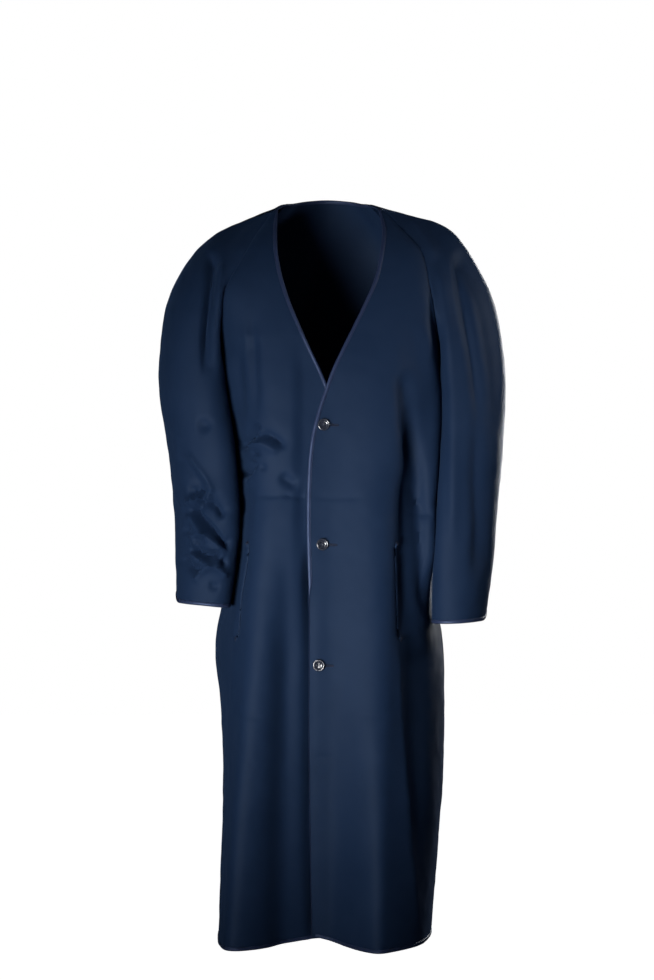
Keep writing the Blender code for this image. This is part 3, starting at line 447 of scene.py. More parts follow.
LEFT_RINGS = (
    ((+0.147, 0.016, -0.003), (+0.166, -0.091, -0.126), (+0.184, 0.000, -0.289), (+0.172, 0.100, -0.112)),
    ((+0.197, 0.014, -0.0225), (+0.184, -0.094, -0.145), (+0.1845, 0.000, -0.294), (+0.188, 0.102, -0.134)),
    ((+0.2325, 0.012, -0.070), (+0.200, -0.097, -0.171), (+0.1855, -0.002, -0.300), (+0.203, 0.103, -0.164)),
    ((+0.2635, 0.010, -0.1349), (+0.216, -0.098, -0.208), (+0.1865, -0.005, -0.310), (+0.214, 0.103, -0.204)),
    ((+0.2795, 0.010, -0.210), (+0.226, -0.098, -0.260), (+0.1860, -0.010, -0.328), (+0.226, 0.101, -0.258)),
    ((+0.284, 0.010, -0.280), (+0.231, -0.097, -0.315), (+0.1845, -0.015, -0.358), (+0.231, 0.099, -0.314)),
    ((+0.280, 0.008, -0.362), (+0.231, -0.094, -0.386), (+0.1812, -0.020, -0.410), (+0.232, 0.093, -0.386)),
    ((+0.2705, 0.002, -0.4683), (+0.222, -0.090, -0.480), (+0.1737, -0.026, -0.492), (+0.223, 0.076, -0.480)),
    ((+0.262, -0.006, -0.560), (+0.215, -0.088, -0.566), (+0.1665, -0.030, -0.572), (+0.215, 0.058, -0.566)),
    ((+0.2515, -0.012, -0.640), (+0.209, -0.085, -0.643), (+0.1665, -0.030, -0.644), (+0.208, 0.046, -0.642)),
)
SLEEVE_FLUTES = (            # side, turn, down at the top, down at the foot, depth, half width
    (-1, 0.115, 0.20, 1.60, +0.0135, 0.075),
    (-1, 0.06, 0.12, 0.60, +0.0040, 0.060),
    (-1, 0.10, 0.03, 1.00, +0.0125, 0.060),
    (+1, 0.10, 0.03, 1.00, +0.0100, 0.060),
    (+1, 0.33, 0.14, 0.70, -0.0060, 0.040),
    (+1, 0.10, 0.20, 1.60, +0.0070, 0.070),
    (+1, 0.06, 0.12, 0.60, +0.0030, 0.060),
    (-1, 0.76, 0.20, 0.70, -0.0070, 0.050),
    (+1, 0.74, 0.20, 0.70, -0.0070, 0.050),
)
ARMHOLE_FADE_RINGS = 4
ARMHOLE_SPREAD, ARMHOLE_HOLD = 0.006, 1.3
CUFF_RISE = 0.011
CUFF_RISE_SPANS, CUFF_RISE_ROWS = 2.2, 1.6
TOP_COLUMN = (SOLID_YOKE_ROWS + 2) * ROUND_CUTS
print("rings on each sleeve", len(RIGHT_RINGS))

# %% [markdown]
# The armhole loop is read from the edges of the fronts and the back, so sleeve and body meet
# exactly. Its points are taken at even steps of the solids' own spans: ten in each seam, one over
# the front's tip and four along the side of the neck.
# %% Sleeve tubes
def along(points, steps):
    """Points at these fractional steps along a row of points."""
    at = np.clip(steps, 0, len(points) - 1)
    low = np.minimum(at.astype(int), len(points) - 2)
    share = (at - low)[:, None]
    return points[low] * (1 - share) + points[low + 1] * share


def armhole(side, front, back):
    """The loop that a sleeve is sewn to, at even cuts of the solids' spans."""
    fore = front[SKIRT_ROWS:, -1]
    tip = front[-1, 0]
    rear = back[SKIRT_ROWS:, -1 if side > 0 else 0][::-1]
    cuts = np.arange(SOLID_YOKE_ROWS * ROUND_CUTS + 1) * (YOKE_CUTS / ROUND_CUTS)
    fore, rear = along(fore, cuts), along(rear, cuts)
    neck = []
    for i in range(1, NECK_SPANS * ROUND_CUTS):
        share = i / (NECK_SPANS * ROUND_CUTS)
        bow = np.array((side * SIDE_NECK_BULGE * math.sin(math.pi * share), 0.0, 0.0))
        neck.append(tip + (rear[0] - tip) * share + bow)
    share = np.arange(1, ROUND_CUTS + 1)[:, None] / ROUND_CUTS
    over_tip = fore[-1] + (tip - fore[-1]) * share
    return np.concatenate([fore, over_tip, neck, rear])


def ring_through(outer, fore, inner, rear, angles):
    """A smooth closed ring through four points, at angles from the inner one round to it again."""
    middle = (outer + inner) / 2
    bulge = (fore + rear) / 2 - middle
    return (middle + np.cos(angles) * (outer - inner) / 2 + np.sin(angles) * (fore - rear) / 2
            + np.sin(angles) ** 2 * bulge)


def halves(lengths):
    """Lengths round a loop as shares: 0 and 1 at the underarm, and a half at the top seam."""
    top = lengths[TOP_COLUMN]
    beyond = (lengths - top) / (lengths[-1] - top)
    return np.where(lengths <= top, lengths / top / 2, 0.5 + beyond / 2)


def sleeve_grid(side, front, back):
    """Rows of points of a whole sleeve from its raglan seam to its cuff, closed round the arm."""
    loop = armhole(side, front, back)
    steps = np.linalg.norm(np.diff(loop, axis=0), axis=1)
    turn = halves(np.concatenate([[0.0], np.cumsum(steps)]))
    even = halves(np.arange(len(loop)))
    four = [np.array([np.interp(share, turn, loop[:, axis]) for axis in range(3)])
            for share in (0.5, 0.25, 0, 0.75)]
    unlike = loop - ring_through(*four, math.pi * (1 - 2 * turn[:, None]))
    beside = np.where(np.abs(turn - 0.5) > 0.25, np.sin(4 * math.pi * turn) ** 2, 0)
    rings = [loop]
    table = LEFT_RINGS if side > 0 else RIGHT_RINGS
    for number, ring in enumerate(table, 1):
        four = (np.array(point) for point in ring)
        at = turn + (even - turn) * number / len(table)
        fade = max(0.0, 1 - number / ARMHOLE_FADE_RINGS)
        points = ring_through(*four, math.pi * (1 - 2 * at[:, None])) + unlike * fade
        points[:, 0] += side * ARMHOLE_SPREAD * beside * min(1.0, ARMHOLE_HOLD * fade)
        rings.append(points)
    last = len(rings) - 1
    count = SOLID_SLEEVE_ROWS * SLEEVE_CUTS
    rows = []
    for level in range(count + 1):
        at = last * level / count
        i = min(last - 1, int(at))
        rows.append(cubic(rings[max(0, i - 1)], rings[i], rings[i + 1], rings[min(last, i + 2)], at - i))
    rows = np.array(rows)
    rows += tube_normals(rows, side) * sleeve_flute_depths(side, rows.shape)[:, :, None]
    columns = np.arange(rows.shape[1])
    near = np.clip(1 - np.abs(columns - TOP_COLUMN) / (CUFF_RISE_SPANS * ROUND_CUTS), 0, 1) ** 2
    up = np.clip(1 - (count - np.arange(count + 1)) / (CUFF_RISE_ROWS * SLEEVE_CUTS), 0, 1)
    rows[:, :, 2] += CUFF_RISE * near[None, :] * (up ** 1.5)[:, None]
    return rows


def sleeve_flute_depths(side, shape):
    """How far each point of a sleeve's tube moves outwards in its large flutes."""
    down, turn = np.meshgrid(np.linspace(0, 1, shape[0]), np.linspace(0, 1, shape[1]), indexing="ij")
    depths = np.zeros(shape[:2])
    for fold_side, middle, start, end, most, half_width in SLEEVE_FLUTES:
        if fold_side == side:
            share = (down - start) / (end - start)
            fade = np.clip(share * 3, 0, 1) * np.clip((1 - share) * 3, 0, 1)
            off = np.minimum(np.abs(turn - middle), 1 - np.abs(turn - middle))
            depths += most * fade * fade * (3 - 2 * fade) * np.exp(-(off / half_width) ** 2)
    return depths


def grid_normals(rows, outside):
    """Unit normals of a grid of points, on the side where the point called outside lies."""
    normals = unit(np.cross(np.gradient(rows, axis=1), np.gradient(rows, axis=0)))
    middle = (rows.shape[0] // 2, rows.shape[1] // 2)
    if np.dot(normals[middle], np.array(outside) - rows[middle]) < 0:
        normals = -normals
    return normals


def tube_normals(rows, side):
    """Unit normals of a closed sleeve, the same on both sides of the underarm seam."""
    wide = rows.shape[1]
    round_twice = np.concatenate([rows[:, -3:-1], rows, rows[:, 1:3]], axis=1)
    normals = grid_normals(round_twice, (side * 2.0, 0.0, 0.0))
    return normals[:, 2:2 + wide]


for side, word in ((-1, "right"), (1, "left")):
    grids["sleeve_" + word] = sleeve_grid(side, grids["front_" + word], grids["back"])
print("sleeve grid", grids["sleeve_left"].shape[:2])

# %% [markdown]
# ## Seams share one surface
# Two panels that are sewn together must bend as one. At each seam both sides get the same
# normal, so a fold that moves the cloth along its normal never opens a gap. Where the seam turns
# back on itself under the arm, each side keeps its own.
# %% Normals of the panels, joined at the seams
SHARPEST_MITRE = 0.6         # keeps the shared normal short where two panels meet at a sharp angle


def mitred(one, other):
    """Normals for both sides of a seam, lengthened so that cloth keeps its thickness there."""
    dot = np.sum(one * other, axis=-1, keepdims=True)
    shared = (one + other) / np.maximum(1 + dot, SHARPEST_MITRE)
    flat = np.clip(dot * 2, 0, 1)
    return one + (shared - one) * flat, other + (shared - other) * flat


def joined_normals():
    """Outward normals of every grid, equal on both sides of each seam."""
    ahead, behind = (0.0, -5.0, -0.5), (0.0, 5.0, -0.5)
    made = {"front_right": grid_normals(grids["front_right"], ahead),
            "front_left": grid_normals(grids["front_left"], ahead),
            "back": grid_normals(grids["back"], behind)}
    seam_end = SOLID_YOKE_ROWS * ROUND_CUTS
    tip_column = seam_end + ROUND_CUTS
    for side, word, back_column in ((-1, "right", 0), (1, "left", -1)):
        front = made["front_" + word]
        across = tube_normals(grids["sleeve_" + word], side)
        below = slice(0, SKIRT_ROWS + 1)
        one, other = mitred(front[below, -1], made["back"][below, back_column])
        front[below, -1], made["back"][below, back_column] = one, other
        steps = np.arange(1, YOKE_ROWS + 1) * (ROUND_CUTS / YOKE_CUTS)
        cuts = np.arange(YOKE_CUTS // ROUND_CUTS, YOKE_ROWS + 1, YOKE_CUTS // ROUND_CUTS) - 1
        yoke = slice(SKIRT_ROWS + 1, None)
        for panel, column, loop_points in ((front, -1, across[0, :seam_end + 1]),
                                           (made["back"], back_column, across[0, :-seam_end - 2:-1])):
            body = panel[yoke, column].copy()
            panel[yoke, column], _ = mitred(body, along(loop_points, steps))
            _, sewn = mitred(body[cuts], loop_points[1:].copy())
            loop_points[1:] = sewn
        tip, across[0, tip_column] = mitred(front[-1, 0], across[0, tip_column])
        share = shares_across(SOLID_FRONT_COLUMNS * FRONT_CUTS)[:, None]
        front[-1] = tip + (front[-1, -1] - tip) * share
        over = np.linspace(0, 1, ROUND_CUTS + 1)[:, None]
        ends = across[0, seam_end].copy(), across[0, tip_column].copy()
        across[0, seam_end:tip_column + 1] = ends[0] + (ends[1] - ends[0]) * over
        made["sleeve_" + word] = across
    return made


normals = joined_normals()
print("normals for", len(normals), "grids")

# %% [markdown]
# ## The creases
# A photograph of a coat is read by its creases: the dark arc where the sleeve pulls the chest,
# the deep folds at the elbow, the sharp line that an iron or a storage box left. Each is one row
# here: a path in the picture, how far the cloth rises (or falls) in millimetres, how wide it is
# on each side, and how round its top is. Going down the path, the first width is on the picture's
# left; going right, it is the one below. A roundness of 0 makes a soft swelling. The rows for the
# back view hold the same kinds of folds for the side that the photograph doesn't show.
# %% Tables of creases
CREASES = {                  # view and piece: lift mm, widths, round, fades, path
    ("front", "front_right"): (
        (-5.5, (5.0, 4.5), 0.0, (30, 40), ((239, 346), (239, 375), (241, 400), (243, 428))),
        (+3.4, (6, 6), 0.0, (30, 30), ((229, 340), (229, 385), (231, 430))),
        (+2.6, (9, 7), 0.0, (16, 26), ((234, 338), (246, 334), (262, 345))),
        (-19.0, (2.8, 2.0), 0.8, (8, 7), ((259, 423), (253, 431), (247, 440), (241, 450))),
        (+5.0, (2.4, 5.0), 0.8, (6, 6), ((261, 427), (252, 438), (246, 446))),
        (-9.0, (2.2, 4.4), 1.0, (7, 12), ((247, 441), (258, 436), (269, 436), (279, 442), (286, 451))),
        (+6.0, (5.0, 2.4), 1.0, (7, 10), ((245, 448), (253, 444), (262, 443), (272, 448), (279, 456))),
        (-5.0, (2.6, 2.6), 0.0, (5, 5), ((250, 452), (262, 454))),
        (-17.0, (3.6, 2.2), 0.9, (5, 6), ((255, 460), (251, 469), (246, 475), (238, 473))),
        (+5.0, (2.4, 4.0), 0.8, (6, 8), ((258, 462), (251, 474), (247, 488))),
        (-3.6, (2.8, 2.8), 0.0, (5, 5), ((257, 468), (268, 467))),
        (-6.5, (5, 6), 0.0, (7, 8), ((279, 474), (289, 482), (299, 487))),
        (-4.5, (3.2, 2.4), 0.6, (8, 8), ((243, 492), (244, 504), (245, 518))),
        (-2.4, (2.0, 2.6), 0.6, (10, 8), ((252, 494), (270, 496), (284, 495))),
        (-3.6, (1.6, 2.4), 0.4, (8, 6), ((278, 495), (292, 497), (307, 497))),
        (-1.5, (2.2, 2.6), 0.6, (8, 8), ((240, 713), (252, 717), (265, 718))),
        (-1.3, (2.2, 2.6), 0.6, (6, 6), ((245, 764), (257, 764))),
        (-20.0, (5.0, 20), 0.0, (60, 12), ((309, 530), (309.3, 640), (309.6, 760), (310.5, 850),
                                           (313, 942))),
        (+1.5, (2.2, 4.0), 0.5, (16, 30), ((234, 640), (232, 694), (228, 728), (227, 756))),
        (-7.0, (1.6, 1.6), 0.4, (5, 5), ((247, 545), (243, 565), (238.5, 591), (237, 620), (234, 640))),
    ),
    ("front", "front_left"): (
        (-11.5, (8, 7), 0.0, (24, 40), ((405, 366), (408, 410), (412, 450), (417, 480), (419, 515),
                                        (421, 545), (424, 580), (426, 625))),
        (-5.0, (5.0, 7.0), 0.6, (10, 9), ((408, 480), (413, 494), (421, 508), (434, 517))),
        (-3.6, (3.0, 4.5), 0.8, (18, 12), ((430, 286), (436, 315), (442, 347), (444, 372), (446, 394))),
        (-1.6, (2.0, 2.6), 0.6, (14, 14), ((310, 497), (340, 498), (366, 497))),
        (-1.6, (3.0, 3.6), 0.4, (10, 8), ((394, 508), (414, 514), (434, 516))),
        (-1.5, (2.2, 2.6), 0.6, (12, 12), ((354, 714), (375, 717), (396, 717))),
        (-1.3, (2.2, 2.6), 0.6, (8, 8), ((312, 757), (336, 757))),
        (+2.6, (4.5, 2.2), 0.5, (20, 30), ((399, 645), (400, 700), (409, 815), (419, 936))),
        (-7.0, (7, 12), 0.0, (60, 190), ((411, 620), (413, 700), (419, 800), (428, 935))),
        (-7.0, (1.6, 1.6), 0.4, (5, 5), ((397, 545), (398, 570), (399, 600), (400.5, 640))),
    ),
    ("front", "sleeve_right"): (
        (-13.0, (4.5, 7.0), 0.0, (14, 50), ((212, 250), (209, 290), (206, 335), (204, 386))),
        (+5.0, (4.5, 5), 0.0, (16, 60), ((222, 256), (218, 290), (217, 330), (218, 395))),
        (-5.5, (7, 6), 0.0, (9, 9), ((194, 424), (204, 425), (213, 430))),
        (-5.5, (5, 5), 0.0, (10, 10), ((176, 452), (190, 470), (204, 490))),
        (+6.0, (3.2, 2.2), 0.8, (10, 4), ((187, 450), (197, 465), (206, 478), (211, 488), (214, 493))),
        (+2.4, (1.6, 1.6), 0.6, (5, 5), ((173, 490), (179, 501), (184, 512))),
        (+1.4, (1.6, 1.6), 0.6, (5, 5), ((167, 427), (175, 434), (184, 442))),
        (-12.0, (2.6, 4.4), 1.2, (6, 6), ((187, 494), (197, 491), (207, 494))),
        (+9.0, (2.4, 2.4), 1.0, (5, 5), ((186, 506), (192, 500), (205, 499), (213, 495))),
        (-14.0, (2.8, 5.6), 1.3, (6, 7), ((196, 503), (207, 503), (217, 509), (225, 519))),
        (+5.0, (4.0, 2.8), 1.0, (7, 9), ((197, 510), (211, 520), (220, 531), (230, 545))),
        (-17.0, (2.2, 6.0), 1.0, (7, 9), ((190, 507), (198, 517), (211, 530), (221, 540), (231, 550))),
        (+8.0, (6.0, 2.2), 1.0, (7, 9), ((187, 511), (199, 528), (212, 540), (229, 552))),
        (-6.5, (5, 5), 0.0, (6, 6), ((185, 525), (192, 533))),
        (+6.5, (2.6, 2.4), 0.8, (5, 5), ((190, 541), (198, 534), (207, 536))),
        (+6.5, (2.6, 2.4), 0.8, (5, 6), ((190, 541), (203, 548), (222, 549))),
        (-4.0, (2.4, 2.4), 0.0, (4, 4), ((196, 540), (208, 540))),
        (-16.0, (2.8, 4.4), 1.2, (6, 7), ((191, 547), (200, 553), (210, 556), (222, 552))),
        (+8.0, (5.5, 2.8), 1.0, (6, 7), ((188, 551), (200, 560), (212, 565), (223, 560))),
        (-13.0, (3.2, 4.0), 1.1, (6, 6), ((183, 554), (189, 567), (203, 570))),
        (+7.0, (3.4, 2.8), 0.8, (6, 7), ((192, 582), (206, 569), (215, 567), (229, 579))),
        (-7.0, (3, 3), 0.0, (5, 5), ((223, 556), (225, 568))),
        (-4.5, (3.4, 3.4), 0.0, (6, 6), ((207, 585), (221, 588))),
    ),
    ("front", "sleeve_left"): (
        (-9.5, (6.0, 7.0), 0.0, (22, 60), ((457, 246), (461, 289), (467, 323), (474, 364), (478, 400),
                                           (478, 440))),
        (+3.4, (5, 6), 0.0, (20, 60), ((437, 262), (443, 290), (448, 330), (452, 400), (453, 480),
                                       (452, 560))),
        (+3.0, (6, 7), 0.0, (14, 20), ((404, 216), (416, 229), (428, 244), (437, 264))),
        (-8.0, (7, 8), 0.0, (50, 40), ((478, 410), (477, 480), (479, 530), (476, 585))),
    ),
    ("back", "back"): (
        (-2.2, (9, 9), 0.0, (30, 40), ((262, 260), (268, 330), (280, 400))),
        (-2.6, (9, 9), 0.0, (30, 40), ((394, 250), (384, 330), (376, 390))),
        (+2.4, (12, 12), 0.0, (60, 60), ((327, 300), (328, 380), (326, 470))),
        (-3.4, (3.4, 4.6), 1.2, (12, 16), ((243, 452), (262, 446), (286, 452), (303, 466))),
        (-3.0, (3.2, 4.4), 1.2, (12, 14), ((420, 462), (398, 455), (376, 462))),
        (-2.2, (3.2, 3.8), 1.0, (10, 12), ((262, 486), (290, 492), (316, 488))),
        (-2.0, (3.0, 3.6), 1.0, (8, 10), ((352, 494), (378, 488), (402, 494))),
        (-0.8, (2.2, 2.6), 0.6, (30, 30), ((250, 505), (330, 507), (410, 504))),
        (-0.6, (2.2, 2.6), 0.8, (30, 30), ((246, 716), (325, 718), (404, 715))),
        (+1.8, (7, 7), 0.0, (60, 80), ((300, 620), (297, 760), (292, 940))),
        (+1.8, (7, 7), 0.0, (60, 80), ((360, 620), (364, 760), (370, 940))),
    ),
    ("back", "sleeve_right"): (
        (-2.8, (5, 5), 0.0, (20, 26), ((210, 262), (205, 300), (201, 350), (200, 390))),
        (-3.8, (3.4, 2.6), 0.8, (8, 9), ((184, 498), (199, 509), (213, 519), (222, 524))),
        (+2.2, (4, 4), 0.0, (9, 9), ((184, 511), (199, 524), (214, 534))),
        (-3.0, (2.6, 3.2), 0.8, (8, 8), ((184, 545), (200, 537), (216, 540))),
    ),
    ("back", "sleeve_left"): (
        (-3.0, (5.5, 5.5), 0.0, (20, 30), ((452, 258), (458, 300), (466, 350), (474, 400))),
        (-3.6, (3.2, 2.6), 0.8, (8, 9), ((492, 512), (476, 520), (462, 532), (452, 545))),
        (-2.6, (2.6, 3.2), 0.8, (8, 8), ((488, 560), (470, 566), (456, 562))),
    ),
}
CREASE_FROM_SEAM = 0.007     # a crease reaches its height this far from a seam
FACING = (0.02, 0.40)        # how squarely cloth faces the eye where creases fade in
SEAM_DEPTH_MM, SEAM_HALF_WIDTH = 0.85, 0.0022
PUCKER_SHARE, PUCKER_EVERY = 0.45, 0.010
UNEVEN_MM, UNEVEN_EVERY = 0.8, 0.070
RIPPLE_MM, RIPPLE_EVERY = 0.42, 0.020
TUCK_BACK_MM, TUCK_WIDTH, TUCK_PLACES = 1.8, 0.0085, (585, 610)
print("creases", sum(len(rows) for rows in CREASES.values()))

# %% [markdown]
# The cloth moves along its normal. `crease_lift` measures how far each point of a grid lies from a
# path in the picture, on which side, and how far along it, and turns that into a height. A slow
# noise keeps the plain areas from being perfectly smooth, since steamed wool never is. Last come
# the seams, which pull the cloth in along a narrow valley with small puckers.
# %% Heights of the cloth
def smooth_path(path, cuts=6):
    """A finer path on a smooth curve through the points of a path."""
    points = np.array(path, float)
    fine = []
    for i in range(len(points) - 1):
        around = points[max(0, i - 1)], points[i], points[i + 1], points[min(len(points) - 1, i + 2)]
        fine += [cubic(*around, share / cuts) for share in range(cuts)]
    return np.array(fine + [points[-1]])


def path_distances(places, path):
    """For each place: its distance from a path, the side it is on, how far along, and the length."""
    best = np.full(places.shape[:-1], 1e9)
    side, gone_at = np.zeros_like(best), np.zeros_like(best)
    gone = 0.0
    for start, end in zip(path, path[1:]):
        way = end - start
        length = np.linalg.norm(way)
        way = way / length
        off = places - start
        reach = np.clip(off @ way, 0, length)
        away = np.linalg.norm(off - reach[..., None] * way, axis=-1)
        nearer = away < best
        best = np.where(nearer, away, best)
        side = np.where(nearer, way[0] * off[..., 1] - way[1] * off[..., 0], side)
        gone_at = np.where(nearer, gone + reach, gone_at)
        gone += length
    return best, side, gone_at, gone


def crease_lift(places, crease):
    """How far one crease lifts the cloth at each place in the picture, in metres."""
    lift, widths, roundness, fades, path = crease
    away, side, gone, length = path_distances(places, smooth_path(path))
    width = np.where(side > 0, widths[0], widths[1])
    if roundness:
        shape = np.exp(-(np.sqrt(away ** 2 + roundness ** 2) - roundness) / width)
    else:
        shape = np.exp(-(away / width) ** 2)
    starts, ends = (smooth(-0.001, min(fade, length / 2), reach)
                    for fade, reach in zip(fades, (gone, length - gone)))
    return lift / 1000 * shape * (starts * ends)


def uneven(points, every, seed):
    """Slow noise of about -1 to 1 at each point of a grid."""
    flat = points.reshape(-1, 3) / every + seed
    made = [noise.noise(Vector(point)) for point in flat]
    return np.array(made).reshape(points.shape[:-1]) * 1.6


def path_lengths(points):
    """Lengths along the last but one axis of an array of points."""
    steps = np.linalg.norm(np.diff(points, axis=-2), axis=-1)
    return np.concatenate([np.zeros(steps.shape[:-1] + (1,)), np.cumsum(steps, axis=-1)], axis=-1)


def off_seams(name):
    """Each point's distance from the nearest sewn edge of its grid, in metres."""
    rows = grids[name]
    across, down = path_lengths(rows), path_lengths(rows.transpose(1, 0, 2)).T
    if name.startswith("sleeve"):
        top = np.abs(across - across[:, TOP_COLUMN:TOP_COLUMN + 1])
        under = np.minimum(across, across[:, -1:] - across)
        return np.minimum(down, np.minimum(top, under)), down
    to_last = across[:, -1:] - across
    if name == "back":
        return np.minimum(across, to_last), np.minimum(across, to_last)
    from_top = down[-1:] - down
    return np.minimum(to_last, from_top), np.minimum(to_last, from_top)


def cloth_heights(name):
    """How far each point of a grid is moved out along its normal."""
    rows, outwards = grids[name], normals[name]
    nearest_seam, joined_seam = off_seams(name)
    made = UNEVEN_MM / 1000 * uneven(rows, UNEVEN_EVERY, 3.7)
    made += RIPPLE_MM / 1000 * uneven(rows, RIPPLE_EVERY, 11.3)
    inside = smooth(0.0, CREASE_FROM_SEAM, joined_seam)
    for (view, piece), creases in CREASES.items():
        if piece != name:
            continue
        looking = 1.0 if view == "front" else -1.0
        facing = smooth(*FACING, -outwards[..., 1] * looking)
        places = seen(rows * np.array((1.0, looking, 1.0)))
        for crease in creases:
            made += crease_lift(places, crease) * facing * inside
    pucker = 1 + PUCKER_SHARE * uneven(rows, PUCKER_EVERY, 5.1)
    made -= SEAM_DEPTH_MM / 1000 * pucker * np.exp(-(nearest_seam / SEAM_HALF_WIDTH) ** 1.5)
    return made


def tucked_edge(rows, outwards):
    """How far the top front's edge turns back below the second button, so that its binding hides."""
    places = seen(rows)
    away = path_lengths(rows)
    low = smooth(*TUCK_PLACES, places[..., 1])
    return -TUCK_BACK_MM / 1000 * low * np.exp(-(away / TUCK_WIDTH) ** 2)


heights = {name: cloth_heights(name) for name in grids}
heights["front_left"] += tucked_edge(grids["front_left"], normals["front_left"])
cloth = {name: grids[name] + normals[name] * heights[name][..., None] for name in grids}
print({name: (round(made.min() * 1000, 1), round(made.max() * 1000, 1)) for name, made in heights.items()})

# %% [markdown]
# ## Walls of cloth
# Each panel is a flat grid that is given its shape and then extruded to its inside, 2 mm away, so
# that it is a closed shell like its solid. Its UV map runs in metres along the cloth, which lets
# the weave follow the cut of the piece.
# %% Panels as objects
coat = bpy.data.collections.new("raglan_coat")
bpy.context.scene.collection.children.link(coat)


def drawn_back(rows, seams):
    """The rows with each sewn edge drawn back by half the seam gap."""
    rows = rows.copy()
    half = SEAM_GAP / 2
    if "first_row" in seams:
        rows[0] += unit(rows[1] - rows[0]) * half
    if "last_row" in seams:
        rows[-1] += unit(rows[-2] - rows[-1]) * half
    for name, edge, neighbour in (("first_column", 0, 1), ("last_column", -1, -2)):
        if name in seams:
            rows[:, edge] += unit(rows[:, neighbour] - rows[:, edge]) * half
    return rows


def object_of(name, shape, angle=50):
    """Puts a bmesh in the coat as a named object with smooth shading."""
    bmesh.ops.recalc_face_normals(shape, faces=shape.faces[:])
    mesh = bpy.data.meshes.new(name)
    shape.to_mesh(mesh)
    shape.free()
    mesh.shade_smooth()
    mesh.set_sharp_from_angle(angle=math.radians(angle))
    made = bpy.data.objects.new(name, mesh)
    coat.objects.link(made)
    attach(made, "root")
    return made


def cloth_wall(name, rows, outwards):
    """A panel of cloth as a closed wall with a UV map in metres."""
    tall, wide = rows.shape[:2]
    shape = bmesh.new()
    bmesh.ops.create_grid(shape, x_segments=wide - 1, y_segments=tall - 1, size=1.0)
    place = shape.verts.layers.int.new("place")
    inside = shape.verts.layers.int.new("inside")
    for vertex in shape.verts:
        row = round((vertex.co.y + 1) / 2 * (tall - 1))
        column = round((vertex.co.x + 1) / 2 * (wide - 1))
        vertex[place] = row * wide + column
    extruded = bmesh.ops.extrude_face_region(shape, geom=shape.faces[:], use_keep_orig=True)
    for item in extruded["geom"]:
        if isinstance(item, bmesh.types.BMVert):
            item[inside] = 1
    points = np.stack([rows, rows - outwards * CLOTH]).reshape(2, -1, 3)
    for vertex in shape.verts:
        vertex.co = points[vertex[inside], vertex[place]]
    made = object_of(name, shape)
    mesh = made.data
    number = np.empty(len(mesh.vertices), np.int32)
    mesh.attributes["place"].data.foreach_get("value", number)
    corners = np.empty(len(mesh.loops), np.int32)
    mesh.loops.foreach_get("vertex_index", corners)
    across, down = path_lengths(rows), path_lengths(rows.transpose(1, 0, 2)).T
    flat = np.stack([across - across.mean(axis=1, keepdims=True), down], axis=-1).reshape(-1, 2)
    layer = mesh.uv_layers.new(name="cut")
    layer.data.foreach_set("uv", flat[number[corners]].ravel())
    return made


PANELS = {"front_right": ("front_right", slice(None), ("last_row", "last_column")),
          "front_left": ("front_left", slice(None), ("last_row", "last_column")),
          "back": ("back", slice(None), ("first_column", "last_column"))}
for word in ("right", "left"):
    seams = ("first_row", "first_column", "last_column")
    PANELS[f"sleeve_{word}_front"] = ("sleeve_" + word, slice(0, TOP_COLUMN + 1), seams)
    PANELS[f"sleeve_{word}_back"] = ("sleeve_" + word, slice(TOP_COLUMN, None), seams)

walls = {}
for name, (grid, columns, seams) in PANELS.items():
    rows = drawn_back(cloth[grid][:, columns], seams)
    walls[name] = cloth_wall(name + "_cloth", rows, normals[grid][:, columns])
    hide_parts(name)
print({name: len(wall.data.polygons) * 2 for name, wall in walls.items()})

# %% [markdown]
# ## The satin binding
# Every raw edge is wrapped in a narrow bias strip of satin. It is a rounded tape that follows the
# edge of the cloth: about 5 mm on the outside, over the edge and back on the inside. Its height
# wavers a little, because a bias strip never lies perfectly flat. Small stitches run along its
# groove. Below the second button the closing edge rolls under, and the strip goes with it.
# %% Tape along an edge
TAPE_PROFILE = (             # mm in from the edge, mm above the outside of the cloth
    (5.3, 0.10), (5.2, 0.62), (4.8, 0.92), (4.2, 0.62), (3.5, 1.04), (2.2, 1.12), (1.0, 1.02),
    (0.1, 0.72), (-0.55, 0.20), (-0.88, -0.45), (-0.95, -1.00), (-0.88, -1.55), (-0.55, -2.20),
    (0.1, -2.72), (1.2, -2.95), (3.4, -2.95), (4.6, -2.75), (4.7, -2.10), (-0.20, -2.10), (-0.20, 0.10),
)
TAPE_LYING = 0.2             # mm; what lies lower than this touches the cloth and doesn't waver
SWELL_SHARE, SWELL_EVERY = 0.16, 0.011
ROLL_SHARE, ROLL_PLACES = 0.93, (580, 598)


def tape_section(points, outwards, swell, lip):
    """The tape's section where it wraps an edge; points run into the cloth, lip narrows its front."""
    gone = path_lengths(points)
    section = []
    inwards = unit(points[1] - points[0])
    for into, above in TAPE_PROFILE:
        reach = max(0.0, into / 1000) * (lip if above > 0 else 1.0)
        place = np.array([np.interp(reach, gone, points[:, axis]) for axis in range(3)])
        way = np.array([np.interp(reach, gone, outwards[:, axis]) for axis in range(3)])
        height = above * swell if above > TAPE_LYING else above
        section.append(place + way * height / 1000 + inwards * min(0.0, into / 1000))
    return section


def tape_sections(points, outwards, rolls_under=False):
    """Sections of tape from arrays that run into the cloth and along the edge."""
    made = []
    for number in range(points.shape[1]):
        spot = Vector(points[0, number] / SWELL_EVERY + 2.0)
        swell = 1 + SWELL_SHARE * noise.noise(spot)
        low = float(smooth(*ROLL_PLACES, seen(points[0, number])[1])) if rolls_under else 0.0
        made.append(tape_section(points[:, number], outwards[:, number], swell, 1 - ROLL_SHARE * low))
    return made


